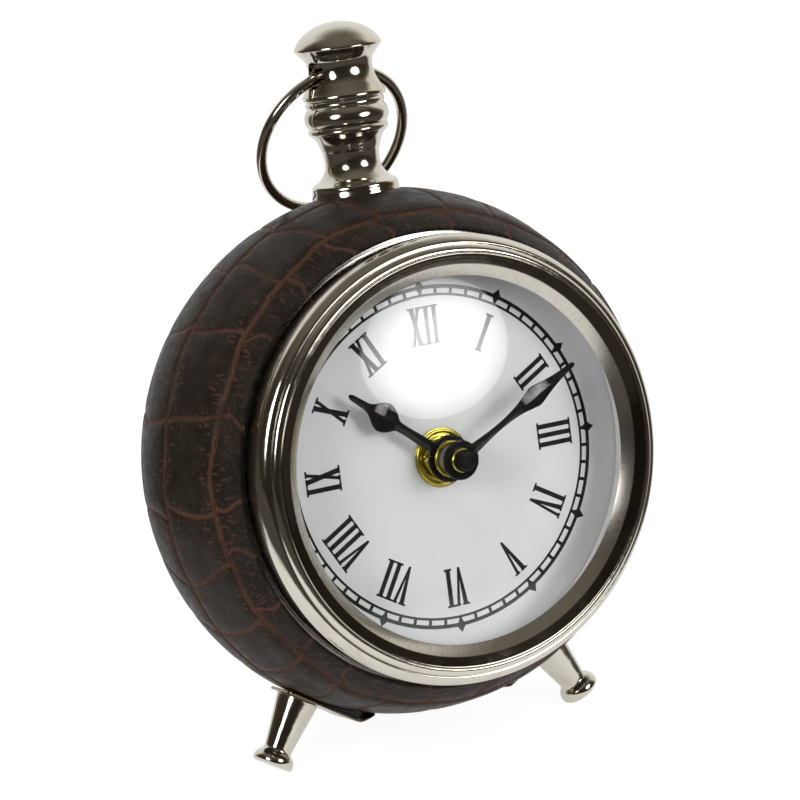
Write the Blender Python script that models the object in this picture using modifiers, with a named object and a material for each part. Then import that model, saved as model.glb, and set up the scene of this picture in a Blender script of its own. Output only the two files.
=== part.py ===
"""Table clock: a leather-covered drum that leans back on three turned feet, with a finial and a bail ring.

The drum, the bezel, the dial and the movement share one axis, that of the hands. Every piece is modelled in
the frame of an empty on that axis, with its origin at the centre of the dial: x to the right, y up the dial
towards twelve, z out of the dial towards the reader. The empty leans the whole clock back and lifts it until
its feet stand on the ground.
"""
import math

import bmesh
import bpy
from mathutils import Matrix, Vector

# Units and fits
MM = 0.001
GAP = 0.3 * MM          # between pieces that rest on each other
PUSH_FIT = 0.1 * MM     # radial, for a piece pushed on another
RUNNING_FIT = 0.2 * MM  # radial, for a piece that turns in another
OVERRUN = 2.0 * MM      # how far a cutter passes the face that it cuts
WELD = 0.001 * MM       # merge distance of doubled points
SHARP_ANGLE = math.radians(32)

# Facets
DRUM_STEPS = 56
INNER_STEPS = 44
FINIAL_STEPS = 28
FOOT_STEPS = 20
SMALL_STEPS = 20
SCREW_STEPS = 12

# Stance
LEAN = math.radians(13.7)

# Drum: its side is an arc of a circle, bulging between the two faces
DRUM_R = 62.1 * MM
BARREL_ARC_R = 39.5 * MM
BARREL_MID_Z = -21.2 * MM
BARREL_RUNS = 6
LEATHER_T = 1.2 * MM
LEATHER_FRONT_Z = 2.6 * MM
LEATHER_REAR_Z = -46.4 * MM
FRONT_LIP_W = 1.8 * MM      # how far the leather turns in over the front and rear edges
REAR_LIP_W = 2.4 * MM
LIP_RISE = 1.05 * MM
SHELL_T = 1.0 * MM
SHELL_FRONT_Z = 2.1 * MM
SHELL_REAR_Z = -46.6 * MM
FACE_RIM_W = 1.72 * MM      # flat rim round the seat for the bezel
SEAT_LEDGE_W = 6.9 * MM     # ledge behind the dial
REAR_RIM_W = 4.55 * MM

# Dial and its spacer
DIAL_T = 0.8 * MM
DIAL_HOLE_R = 4.4 * MM
SPACER_FOOT_T = 1.3 * MM
SPACER_TOP_T = 0.9 * MM
SPACER_TOP_Z = 7.2 * MM

# Glass
GLASS_T = 1.2 * MM
GLASS_RISE = 7.6 * MM
GLASS_RUNS = 4

# Bezel: a turned ring with two beads and a rising inner land. Widths run in from its rim
BEZEL_OVERHANG = 1.1 * MM
BEZEL_SKIRT_OVERHANG = 0.8 * MM
SPIGOT_T = 2.0 * MM
OUTER_BEAD_IN = 1.5 * MM
FILLET_IN = 3.45 * MM
INNER_BEAD_IN = 4.75 * MM
LAND_FOOT_IN = 6.05 * MM
BEZEL_HOLE_IN = 8.0 * MM
BEZEL_RIM_DROP = 1.9 * MM
BEAD_WALL = 0.8 * MM        # metal above the edge of the glass
LAND_WALL = 1.45 * MM       # metal above the glass at the foot and at the top of the land
LIP_WALL = 2.2 * MM
GROOVE_DEPTH = 0.4 * MM
INNER_BEAD_RISE = 0.15 * MM

# Rear lid
LID_MARGIN = 1.0 * MM
LID_T = 1.0 * MM
LID_SKIRT_DEPTH = 4.6 * MM
LID_BEAD_W = 5.6 * MM
LID_DISH = 0.6 * MM
LID_NOTCH_R = 5.0 * MM
LID_NOTCH_DEPTH = 1.6 * MM

# Movement
CASE_WALL = 1.5 * MM
CASE_CORNER_R = 4.0 * MM
GASKET_T = 1.0 * MM
GASKET_R = 8.5 * MM
FRONT_CASE_DEPTH = 8.0 * MM
BACK_CASE_DEPTH = 7.2 * MM
TRAIN_PLATE_T = 1.2 * MM
PARTITION_T = 1.2 * MM
BUSH_R = 4.0 * MM
BUSH_BORE_R = 3.35 * MM
BUSH_FLANGE_R = 5.6 * MM
BUSH_FLANGE_T = 1.0 * MM
BUSH_STANDOUT = 0.05 * MM
WASHER_R = 6.9 * MM
WASHER_T = 0.8 * MM
NUT_ACROSS_FLATS = 9.6 * MM
NUT_T = 2.0 * MM
NUT_SIDES = 6

# Motion work: the pinions and wheels all have one module, so both pairs fit one centre distance
GEAR_MODULE = 0.6 * MM
CANNON_LEAVES = 10
MINUTE_WHEEL_TEETH = 30
MINUTE_PINION_LEAVES = 8
HOUR_WHEEL_TEETH = 32
WHEEL_T = 1.1 * MM
PINION_T = 2.4 * MM
WHEEL_GAP = 1.2 * MM        # between the hour wheel and the minute wheel, along the arbor
WHEEL_TOOTH_SHARES = (0.9, 1.2, 0.88, 0.42)
PINION_TOOTH_SHARES = (0.6, 1.35, 0.8, 0.42)
HOUR_PIPE_T = 1.1 * MM
PIPE_STANDOUT = 0.5 * MM    # past the face of the hour hand
ARBOR_R = 1.6 * MM
ARBOR_TOP_R = 1.35 * MM
ARBOR_STANDOUT = 2.0 * MM   # past the face of the minute hand
PIVOT_R = 0.9 * MM
STAFF_R = 1.0 * MM

# Setting knob
KNOB_R = 6.5 * MM
KNOB_T = 2.2 * MM
KNOB_NOTCHES = 20
KNOB_NOTCH_DEPTH = 0.45 * MM

# Hands: half widths along the hand, as shares of its length and of its widest half width
HOUR_TIP_IN = 13.8 * MM     # from the edge of the bezel's hole in to the tip
HOUR_HALF_WIDTH = 3.45 * MM
HOUR_HUB_R = 5.5 * MM
HOUR_ANGLE = math.radians(308.5)
HOUR_OUTLINE_SHARES = (
    (0.20, 0.36), (0.46, 0.31), (0.52, 0.37), (0.565, 0.68), (0.615, 0.93), (0.665, 1.0),
    (0.715, 0.83), (0.765, 0.5), (0.81, 0.28), (0.97, 0.2), (1.0, 0.09))
MINUTE_TIP_IN = 7.2 * MM
MINUTE_HALF_WIDTH = 2.5 * MM
MINUTE_HUB_R = 4.6 * MM
MINUTE_ANGLE = math.radians(62.6)
MINUTE_OUTLINE_SHARES = (
    (0.12, 0.5), (0.33, 0.3), (0.42, 0.34), (0.52, 0.52), (0.61, 0.86), (0.655, 1.0),
    (0.72, 0.8), (0.88, 0.34), (0.975, 0.25), (1.0, 0.11))
HAND_T = 0.5 * MM
HAND_SPACING = 5.2 * MM     # from one hand to the other
BLADE_RIDGE_T = 0.75 * MM   # the blades are pressed to a ridge along their middle
BLADE_EDGE_T = 0.3 * MM
BLADE_ROOT = 0.8 * MM       # how far a blade runs into its hub
COLLET_WALL = 0.6 * MM
COLLET_FLANGE_W = 0.5 * MM
COLLET_FLANGE_T = 0.4 * MM
COLLET_RIM_RISE = 0.8 * MM
CAP_FLANGE_W = 0.5 * MM
CAP_FLANGE_T = 0.9 * MM
CAP_R = 2.05 * MM
CAP_CROWN_T = 0.8 * MM

# Battery and its contacts
BATTERY_R = 7.1 * MM
BATTERY_LENGTH = 50.2 * MM
BATTERY_BUTTON_R = 2.7 * MM
BATTERY_BUTTON_T = 1.2 * MM
BATTERY_EDGE = 0.7 * MM
CONTACT_ROOM = 1.4 * MM     # between the battery's end and the housing's wall
CONTACT_T = 0.4 * MM
CONTACT_WIDTH = 7.0 * MM
CONTACT_HEIGHT = 13.0 * MM

# Drive parts in the back of the movement
BOARD_LENGTH = 17.0 * MM
BOARD_WIDTH = 24.0 * MM
BOARD_T = 1.0 * MM
COIL_R = 2.2 * MM
COIL_LENGTH = 19.0 * MM
COIL_FLANGE_T = 0.8 * MM
COIL_CORE_R = 0.8 * MM
STATOR_T = 0.6 * MM
STATOR_WIDTH = 5.0 * MM

# Finial: heights of its parts, from the leather up, and radii
POST_Z = -24.9 * MM
FINIAL_FLARE_H = 1.1 * MM
FINIAL_STEM_H = 5.9 * MM    # flare to waist
FINIAL_BODY_H = 10.6 * MM   # waist to band
FINIAL_SHOULDER_H = 10.2 * MM
FINIAL_NECK_H = 3.1 * MM
FINIAL_LIP_H = 3.0 * MM     # neck to the cap's rim
FINIAL_CROWN_H = 5.9 * MM
FINIAL_HOLE_DROP = 0.5 * MM
FINIAL_BASE_R = 10.2 * MM
FINIAL_WAIST_R = 6.5 * MM
FINIAL_BAND_R = 9.9 * MM
FINIAL_NECK_R = 7.7 * MM
FINIAL_CAP_R = 10.4 * MM
FINIAL_CROWN_RUNS = 6
FINIAL_MOUTH_R = 8.8 * MM   # where the bail leaves the hole
FINIAL_SCREW_DEPTH = 8.0 * MM
# The turning between two of those places: shares of the way down and of the change of radius
RIM_TO_NECK_SHARES = ((0.17, 0.1), (0.58, 0.5), (1.0, 1.0))
NECK_TO_BAND_SHARES = (
    (0.19, 0.23), (0.41, 0.77), (0.51, 0.92), (0.56, 0.92), (0.63, 0.68), (0.71, 0.77), (0.78, 0.68),
    (0.88, 0.92), (1.0, 1.0))
BAND_TO_WAIST_SHARES = (
    (0.12, 0.05), (0.2, 0.21), (0.28, 0.15), (0.35, 0.18), (0.52, 0.68), (0.81, 0.93), (1.0, 1.0))
WAIST_TO_FLARE_SHARES = ((0.42, 0.14), (0.73, 0.54), (0.87, 0.93), (1.0, 1.0))

# Bail ring
BAIL_SPARE = 5.05 * MM      # how much larger its radius is than half the way from its hole to the leather
BAIL_WIRE_R = 1.3 * MM
BAIL_PLAY = 0.03 * MM       # at the mouths of its hole, where the wire slants
BAIL_STEPS = 40
BAIL_SIDES = 8

# Feet: a taper that ends in a bead with a flat sole
FOOT_SPREAD = math.radians(32.2)
FOOT_Z = -22.3 * MM
FOOT_LENGTH = 16.2 * MM
FOOT_ROOT_R = 5.0 * MM
FOOT_NECK_R = 3.3 * MM
FOOT_BEAD_R = 4.85 * MM
FOOT_BEAD_T = 4.0 * MM
FOOT_SOLE_R = 4.45 * MM
REAR_FOOT_Z = -42.5 * MM
REAR_FOOT_ROOT_R = 4.2 * MM
SADDLE_T = 0.6 * MM
SADDLE_WIDTH = 10.6 * MM
SADDLE_OUTER = 5.3 * MM
SADDLE_INNER = 18.6 * MM
SADDLE_BEND = 3.6 * MM

# Screws that hold the feet and the finial from inside the drum
SCREW_R = 1.45 * MM
SCREW_HOLE_R = 1.8 * MM
SCREW_HEAD_R = 3.0 * MM
SCREW_HEAD_T = 1.8 * MM
SCREW_GRIP = 8.0 * MM
SCREW_HEAD_SAG = 0.6 * MM   # how far the drum's inner face curves in under a screw's head

# Colour, metallic share and roughness of each finish
FINISHES = {
    "nickel": ((0.62, 0.60, 0.56), 1.0, 0.16),
    "leather": ((0.035, 0.022, 0.016), 0.0, 0.5),
    "spun_steel": ((0.50, 0.50, 0.50), 1.0, 0.4),
    "glass": ((0.9, 0.93, 0.93), 0.0, 0.03),
    "dial_white": ((0.80, 0.80, 0.79), 0.0, 0.45),
    "hand_black": ((0.012, 0.012, 0.013), 0.0, 0.22),
    "brass": ((0.72, 0.52, 0.16), 1.0, 0.25),
    "movement_black": ((0.02, 0.02, 0.022), 0.0, 0.45),
    "gear_white": ((0.75, 0.75, 0.72), 0.0, 0.4),
    "rubber": ((0.02, 0.02, 0.02), 0.0, 0.8),
    "copper": ((0.55, 0.22, 0.09), 1.0, 0.35),
    "board_green": ((0.03, 0.16, 0.07), 0.0, 0.5),
    "battery_sleeve": ((0.10, 0.11, 0.13), 0.3, 0.4),
}

# Places that follow from the sizes above. The drum:
ARC_CENTRE_R = DRUM_R - BARREL_ARC_R
SHELL_INSET = LEATHER_T + GAP


def barrel_radius(z, inset=0):
    """Radius of the drum's side at a height, or of a surface inset from it."""
    return ARC_CENTRE_R + math.sqrt((BARREL_ARC_R - inset) ** 2 - (z - BARREL_MID_Z) ** 2)


FRONT_LIP_R = barrel_radius(LEATHER_FRONT_Z) - FRONT_LIP_W
REAR_LIP_R = barrel_radius(LEATHER_REAR_Z) - REAR_LIP_W
SEAT_R = barrel_radius(SHELL_FRONT_Z, SHELL_INSET) - FACE_RIM_W
SEAT_HOLE_R = SEAT_R - SEAT_LEDGE_W
REAR_OPENING_R = barrel_radius(SHELL_REAR_Z, SHELL_INSET) - REAR_RIM_W
LID_R = REAR_LIP_R - LID_MARGIN

# The bezel and what it holds
BEZEL_R = SEAT_R + BEZEL_OVERHANG
BEZEL_SKIRT_R = SEAT_R + BEZEL_SKIRT_OVERHANG
SPIGOT_R = SEAT_R - GAP
BEZEL_BORE_R = SPIGOT_R - SPIGOT_T
GLASS_R = BEZEL_BORE_R - GAP
OUTER_BEAD_R = BEZEL_R - OUTER_BEAD_IN
FILLET_R = BEZEL_R - FILLET_IN
INNER_BEAD_R = BEZEL_R - INNER_BEAD_IN
LAND_FOOT_R = BEZEL_R - LAND_FOOT_IN
BEZEL_HOLE_R = BEZEL_R - BEZEL_HOLE_IN
GLASS_EDGE_Z = SPACER_TOP_Z + GAP + GLASS_T
HOUR_LENGTH = BEZEL_HOLE_R - HOUR_TIP_IN
MINUTE_LENGTH = BEZEL_HOLE_R - MINUTE_TIP_IN

# The movement, from the dial back
DIAL_BACK_Z = -DIAL_T
SEAT_Z = DIAL_BACK_Z - GAP
GASKET_BACK_Z = SEAT_Z - GASKET_T
CASE_FRONT_Z = GASKET_BACK_Z - GAP
CASE_INNER_Z = CASE_FRONT_Z - CASE_WALL
CASE_SPLIT_Z = CASE_FRONT_Z - FRONT_CASE_DEPTH
CASE_BACK_Z = CASE_SPLIT_Z - GAP - BACK_CASE_DEPTH
BUSH_FLANGE_TOP_Z = CASE_INNER_Z - GAP
BUSH_FLANGE_LOW_Z = BUSH_FLANGE_TOP_Z - BUSH_FLANGE_T
HOUR_WHEEL_TOP_Z = BUSH_FLANGE_LOW_Z - GAP
HOUR_WHEEL_LOW_Z = HOUR_WHEEL_TOP_Z - WHEEL_T
MINUTE_WHEEL_TOP_Z = HOUR_WHEEL_LOW_Z - WHEEL_GAP
MINUTE_WHEEL_LOW_Z = MINUTE_WHEEL_TOP_Z - WHEEL_T
CANNON_TOP_Z = HOUR_WHEEL_LOW_Z - GAP
CANNON_LOW_Z = CANNON_TOP_Z - PINION_T
TRAIN_PLATE_TOP_Z = CANNON_LOW_Z - GAP
TRAIN_PLATE_LOW_Z = TRAIN_PLATE_TOP_Z - TRAIN_PLATE_T
CENTRE_DISTANCE = GEAR_MODULE * (CANNON_LEAVES + MINUTE_WHEEL_TEETH) / 2
PARTITION_Y = GEAR_MODULE * (HOUR_WHEEL_TEETH / 2 + WHEEL_TOOTH_SHARES[0]) + GAP
BATTERY_Y = PARTITION_Y + PARTITION_T + GAP + BATTERY_R
BATTERY_Z = CASE_INNER_Z - GAP - BATTERY_R
INNER_HALF_X = BATTERY_LENGTH / 2 + CONTACT_ROOM
INNER_HALF_Y = BATTERY_Y + BATTERY_R + GAP
CASE_HALF_X = INNER_HALF_X + CASE_WALL
CASE_HALF_Y = INNER_HALF_Y + CASE_WALL
HOUR_PIPE_R = BUSH_BORE_R - RUNNING_FIT
HOUR_PIPE_BORE_R = HOUR_PIPE_R - HOUR_PIPE_T

# The hands, from the dial out
NUT_TOP_Z = GAP + WASHER_T + GAP + NUT_T
BUSH_TOP_Z = NUT_TOP_Z + BUSH_STANDOUT
HOUR_Z = BUSH_TOP_Z + GAP + COLLET_FLANGE_T + GAP / 2
HOUR_PIPE_TOP_Z = HOUR_Z + HAND_T + PIPE_STANDOUT
MINUTE_Z = HOUR_Z + HAND_SPACING
ARBOR_SHOULDER_Z = MINUTE_Z - GAP / 2 - COLLET_FLANGE_T - GAP
ARBOR_TOP_Z = MINUTE_Z + HAND_T + ARBOR_STANDOUT
CAP_TOP_Z = ARBOR_TOP_Z + GAP + CAP_CROWN_T
CAP_FLANGE_R = CAP_R + CAP_FLANGE_W

# The finial, the bail and the screws
FINIAL_ROOT_Y = barrel_radius(POST_Z)
FINIAL_FLARE_Y = FINIAL_ROOT_Y + FINIAL_FLARE_H
FINIAL_WAIST_Y = FINIAL_FLARE_Y + FINIAL_STEM_H
FINIAL_BAND_Y = FINIAL_WAIST_Y + FINIAL_BODY_H
FINIAL_NECK_Y = FINIAL_BAND_Y + FINIAL_SHOULDER_H
FINIAL_LIP_Y = FINIAL_NECK_Y + FINIAL_NECK_H
FINIAL_RIM_Y = FINIAL_LIP_Y + FINIAL_LIP_H
FINIAL_HOLE_Y = FINIAL_NECK_Y - FINIAL_HOLE_DROP
BAIL_R = (FINIAL_HOLE_Y - FINIAL_ROOT_Y) / 2 + BAIL_SPARE
BAIL_SLANT = math.asin(FINIAL_MOUTH_R / BAIL_R)
BAIL_HALF_SAG = BAIL_R * (1 - math.cos(BAIL_SLANT)) / 2
BAIL_HOLE_R = BAIL_HALF_SAG + BAIL_WIRE_R / math.cos(BAIL_SLANT) + BAIL_PLAY
SCREW_SEAT_INSET = SHELL_INSET + SHELL_T + SCREW_HEAD_SAG + RUNNING_FIT


def clear_scene():
    """Empties the file, so that the clock is all that it holds."""
    for item in list(bpy.data.objects):
        bpy.data.objects.remove(item, do_unlink=True)


def new_collection(name):
    collection = bpy.data.collections.new(name)
    bpy.context.scene.collection.children.link(collection)
    return collection


def make_finish(name):
    """Makes one Principled material from its row in the table of finishes."""
    colour, metallic, roughness = FINISHES[name]
    finish = bpy.data.materials.new(name)
    finish.use_nodes = True
    finish.diffuse_color = (*colour, 1.0)
    shader = finish.node_tree.nodes["Principled BSDF"]
    shader.inputs["Base Color"].default_value = (*colour, 1.0)
    shader.inputs["Metallic"].default_value = metallic
    shader.inputs["Roughness"].default_value = roughness
    if name == "glass":
        shader.inputs["Transmission Weight"].default_value = 1.0
    return finish


def add_object(name, mesh, finish=None):
    """Links a mesh to the clock, under the head frame."""
    piece = bpy.data.objects.new(name, mesh)
    PARTS.objects.link(piece)
    piece.parent = HEAD
    if finish:
        mesh.materials.clear()
        mesh.materials.append(bpy.data.materials[finish])
    return piece


def mesh_from(name, build):
    """Turns a bmesh into a mesh with outward faces."""
    bmesh.ops.recalc_face_normals(build, faces=build.faces)
    mesh = bpy.data.meshes.new(name)
    build.to_mesh(mesh)
    build.free()
    return mesh


def turned(name, profile, finish=None, steps=SMALL_STEPS, ring=False):
    """Turns a profile of (radius, height) about the piece's own z axis, from its top down the outer side."""
    build = bmesh.new()
    points = [build.verts.new((radius, 0, height)) for radius, height in profile]
    for start, end in zip(points, points[1:]):
        build.edges.new((start, end))
    if ring:
        build.edges.new((points[-1], points[0]))
    mesh = bpy.data.meshes.new(name)
    build.to_mesh(mesh)
    build.free()
    piece = add_object(name, mesh, finish)
    screw = piece.modifiers.new("Turn", "SCREW")
    screw.axis = "Z"
    screw.angle = math.tau
    screw.steps = steps
    screw.render_steps = steps
    screw.use_merge_vertices = True
    screw.merge_threshold = WELD
    return piece


def rod(name, radius, low, high, steps=SMALL_STEPS, finish=None):
    """A cylinder on the z axis between two heights."""
    build = bmesh.new()
    middle = Matrix.Translation((0, 0, (low + high) / 2))
    bmesh.ops.create_cone(build, cap_ends=True, segments=steps, radius1=radius, radius2=radius,
                          depth=high - low, matrix=middle)
    return add_object(name, mesh_from(name, build), finish)


def block(name, low, high, finish=None):
    """A box between two opposite corners."""
    size = Vector(high) - Vector(low)
    centre = (Vector(high) + Vector(low)) / 2
    build = bmesh.new()
    bmesh.ops.create_cube(build, size=1, matrix=Matrix.Translation(centre) @ Matrix.Diagonal((*size, 1)))
    return add_object(name, mesh_from(name, build), finish)


def plate(name, outline, low, high, finish=None):
    """A flat outline given thickness between two heights, made from a filled curve and welded."""
    curve = bpy.data.curves.new(name, "CURVE")
    curve.dimensions = "2D"
    curve.fill_mode = "BOTH"
    curve.extrude = (high - low) / 2
    spline = curve.splines.new("POLY")
    spline.points.add(len(outline) - 1)
    for point, (x, y) in zip(spline.points, outline):
        point.co = (x, y, 0, 1)
    spline.use_cyclic_u = True
    source = bpy.data.objects.new(name, curve)
    PARTS.objects.link(source)
    bpy.context.view_layer.update()
    evaluated = source.evaluated_get(bpy.context.evaluated_depsgraph_get())
    mesh = bpy.data.meshes.new_from_object(evaluated)
    bpy.data.objects.remove(source, do_unlink=True)
    build = bmesh.new()
    build.from_mesh(mesh)
    bmesh.ops.remove_doubles(build, verts=build.verts, dist=WELD)
    bmesh.ops.translate(build, verts=build.verts, vec=(0, 0, (low + high) / 2))
    bpy.data.meshes.remove(mesh)
    return add_object(name, mesh_from(name, build), finish)


def combine(piece, operation, tools):
    """Adds one exact Boolean for each tool and puts the tools away with the cutters."""
    for tool in tools:
        boolean = piece.modifiers.new(operation.title(), "BOOLEAN")
        boolean.operation = operation
        boolean.object = tool
        tool.hide_render = True
        tool.display_type = "WIRE"
        PARTS.objects.unlink(tool)
        CUTTERS.objects.link(tool)
    return piece


def cut(piece, *tools):
    return combine(piece, "DIFFERENCE", tools)


def join(piece, *tools):
    return combine(piece, "UNION", tools)


def shift(piece, x=0, y=0, z=0):
    piece.location = (x, y, z)
    return piece


def aim(piece, origin, direction):
    """Puts a piece's z axis along a direction in the head frame, from a given origin."""
    piece.location = origin
    piece.rotation_euler = Vector(direction).to_track_quat("Z", "Y").to_euler()
    return piece


def settle(piece):
    """Applies a piece's modifiers and shades it smooth between its sharp edges."""
    evaluated = piece.evaluated_get(bpy.context.evaluated_depsgraph_get())
    mesh = bpy.data.meshes.new_from_object(evaluated)
    piece.modifiers.clear()
    piece.data = mesh
    mesh.name = piece.name
    mesh.shade_smooth()
    mesh.set_sharp_from_angle(angle=SHARP_ANGLE)


def barrel_run(start_z, end_z, inset=0, runs=BARREL_RUNS):
    """Points down the drum's side, evenly spaced by angle on its arc."""
    radius = BARREL_ARC_R - inset
    start = math.asin((start_z - BARREL_MID_Z) / radius)
    end = math.asin((end_z - BARREL_MID_Z) / radius)
    run = []
    for index in range(runs + 1):
        angle = start + (end - start) * index / runs
        run.append((ARC_CENTRE_R + radius * math.cos(angle), BARREL_MID_Z + radius * math.sin(angle)))
    return run


def barrel_cutter(name):
    """The drum as one solid, one gap larger than the leather, which trims what stands on the leather."""
    run = barrel_run(LEATHER_FRONT_Z, LEATHER_REAR_Z, -GAP)
    return turned(name, [(0, LEATHER_FRONT_Z), *run, (0, LEATHER_REAR_Z)], steps=DRUM_STEPS)


def screw_stations():
    """Where the finial and the feet are screwed on: a point on the drum's axis side and a direction out."""
    stations = [(Vector((0, 0, POST_Z)), Vector((0, 1, 0)))]
    for side in (-1, 1):
        out = Vector((side * math.sin(FOOT_SPREAD), -math.cos(FOOT_SPREAD), 0))
        stations.append((Vector((0, 0, FOOT_Z)), out))
    stations.append((rear_foot_centre(), rear_foot_direction()))
    return stations


def rear_foot_direction():
    """Square to the leather at the rear foot: away from the centre of the side's arc."""
    slope = math.asin((REAR_FOOT_Z - BARREL_MID_Z) / BARREL_ARC_R)
    return Vector((0, -math.cos(slope), math.sin(slope)))


def rear_foot_centre():
    """A point on the rear foot's axis as far inside the leather as the arc's centre."""
    return Vector((0, -ARC_CENTRE_R, BARREL_MID_Z))


def screw_holes(name, radius):
    """One rod for each screw, through the drum's wall."""
    holes = []
    for number, (origin, out) in enumerate(screw_stations()):
        reach = wall_reach(number)
        hole = rod(f"{name}_{number}", radius, reach - SCREW_HEAD_R, reach + SCREW_HEAD_R, SCREW_STEPS)
        holes.append(aim(hole, origin, out))
    return holes


def wall_reach(number):
    """Distance from a screw station's origin to the leather, along the screw."""
    if number == 0:
        return barrel_radius(POST_Z)
    if number < len(screw_stations()) - 1:
        return barrel_radius(FOOT_Z)
    return BARREL_ARC_R


def make_leather():
    """The leather skin: it follows the side and turns in over both edges of the shell."""
    front_low = SHELL_FRONT_Z + GAP
    rear_high = SHELL_REAR_Z - GAP
    outer = barrel_run(LEATHER_FRONT_Z, LEATHER_REAR_Z)
    inner = barrel_run(SHELL_REAR_Z + GAP, SHELL_FRONT_Z, LEATHER_T, BARREL_RUNS)
    front_r = outer[0][0]
    rear_r = outer[-1][0]
    front_middle = (FRONT_LIP_R + front_r) / 2
    rear_middle = (REAR_LIP_R + rear_r) / 2
    front = [(FRONT_LIP_R, LEATHER_FRONT_Z + LIP_RISE / 2)]
    front.append((front_middle, LEATHER_FRONT_Z + LIP_RISE))
    rear = [(rear_middle, LEATHER_REAR_Z - LEATHER_T - GAP), (REAR_LIP_R, LEATHER_REAR_Z - LEATHER_T)]
    profile = front + outer + rear + [(REAR_LIP_R, rear_high), (inner[0][0], rear_high)]
    profile += inner + [(inner[-1][0], front_low), (FRONT_LIP_R, front_low)]
    skin = turned("leather_wrap", profile, "leather", DRUM_STEPS, ring=True)
    return cut(skin, *screw_holes("leather_hole", SCREW_HOLE_R))


def make_shell():
    """The spun drum, with a recess in its face for the dial and bezel and a wide opening at the back."""
    seat_low = SEAT_Z - SHELL_T
    outer = barrel_run(SHELL_FRONT_Z, SHELL_REAR_Z, SHELL_INSET, BARREL_RUNS)
    inner = barrel_run(SHELL_REAR_Z + SHELL_T, seat_low, SHELL_INSET + SHELL_T, BARREL_RUNS)
    profile = [(SEAT_R, SHELL_FRONT_Z), *outer, (REAR_OPENING_R, SHELL_REAR_Z)]
    profile += [(REAR_OPENING_R, SHELL_REAR_Z + SHELL_T), *inner]
    profile += [(SEAT_HOLE_R, seat_low), (SEAT_HOLE_R, SEAT_Z), (SEAT_R, SEAT_Z)]
    shell = turned("case_shell", profile, "spun_steel", INNER_STEPS, ring=True)
    return cut(shell, *screw_holes("shell_hole", SCREW_HOLE_R))


def bezel_profile():
    """From the edge of the hole, over the two beads, down the skirt and up the bore."""
    base_z = SHELL_FRONT_Z + GAP
    bead_z = GLASS_EDGE_Z + GAP + BEAD_WALL
    land_low_z = glass_top_z(LAND_FOOT_R) + GAP
    land_z = land_low_z + LAND_WALL
    inner_bead_z = land_z + INNER_BEAD_RISE
    lip_low_z = glass_top_z(BEZEL_HOLE_R) + GAP
    lip_z = lip_low_z + LIP_WALL
    outer_groove_r = (OUTER_BEAD_R + FILLET_R) / 2
    inner_groove_r = (FILLET_R + INNER_BEAD_R) / 2
    shoulder = (BEZEL_R - OUTER_BEAD_R) / 2
    land = (LAND_FOOT_R - BEZEL_HOLE_R) / 5
    return [
        (BEZEL_HOLE_R, lip_z - land / 2),
        (BEZEL_HOLE_R + land, lip_z),
        (LAND_FOOT_R, land_z),
        ((LAND_FOOT_R + INNER_BEAD_R) / 2, inner_bead_z),
        (INNER_BEAD_R, inner_bead_z),
        ((INNER_BEAD_R + inner_groove_r) / 2, inner_bead_z - GROOVE_DEPTH),
        (inner_groove_r, bead_z - GROOVE_DEPTH / 2),
        (FILLET_R, bead_z),
        (outer_groove_r, bead_z - GROOVE_DEPTH),
        ((outer_groove_r + OUTER_BEAD_R) / 2, bead_z - GROOVE_DEPTH / 4),
        (OUTER_BEAD_R, bead_z),
        (BEZEL_R - shoulder, bead_z - shoulder / 2),
        (BEZEL_R - shoulder / 4, bead_z - BEZEL_RIM_DROP / 2),
        (BEZEL_R, bead_z - BEZEL_RIM_DROP),
        (BEZEL_SKIRT_R, base_z),
        (SPIGOT_R, base_z),
        (SPIGOT_R, GAP),
        (BEZEL_BORE_R, GAP),
        (BEZEL_BORE_R, GLASS_EDGE_Z + GAP),
        (inner_groove_r, glass_top_z(inner_groove_r) + GAP),
        (LAND_FOOT_R, land_low_z),
        (BEZEL_HOLE_R, lip_low_z),
    ]


def make_bezel():
    return turned("bezel", bezel_profile(), "nickel", DRUM_STEPS, ring=True)


def glass_top_z(radius):
    """Height of the domed glass at a distance from its middle."""
    sphere = (GLASS_R ** 2 + GLASS_RISE ** 2) / (2 * GLASS_RISE)
    return GLASS_EDGE_Z + GLASS_RISE - sphere + math.sqrt(sphere ** 2 - radius ** 2)


def make_glass():
    """The domed glass, which sits on the spacer under the bezel's lip."""
    outer = []
    for index in range(GLASS_RUNS + 1):
        radius = GLASS_R * index / GLASS_RUNS
        outer.append((radius, glass_top_z(radius)))
    inner = [(radius, height - GLASS_T) for radius, height in reversed(outer)]
    return turned("glass", outer + inner, "glass", INNER_STEPS)


def make_spacer():
    """The white ring that stands on the dial and carries the glass."""
    profile = [
        (GLASS_R - SPACER_TOP_T, SPACER_TOP_Z), (GLASS_R, SPACER_TOP_Z), (GLASS_R, GAP),
        (GLASS_R - SPACER_FOOT_T, GAP)]
    return turned("dial_spacer", profile, "dial_white", INNER_STEPS, ring=True)


def make_dial():
    radius = SEAT_R - GAP
    profile = [(DIAL_HOLE_R, 0), (radius, 0), (radius, DIAL_BACK_Z), (DIAL_HOLE_R, DIAL_BACK_Z)]
    return turned("dial_plate", profile, "dial_white", INNER_STEPS, ring=True)


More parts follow.
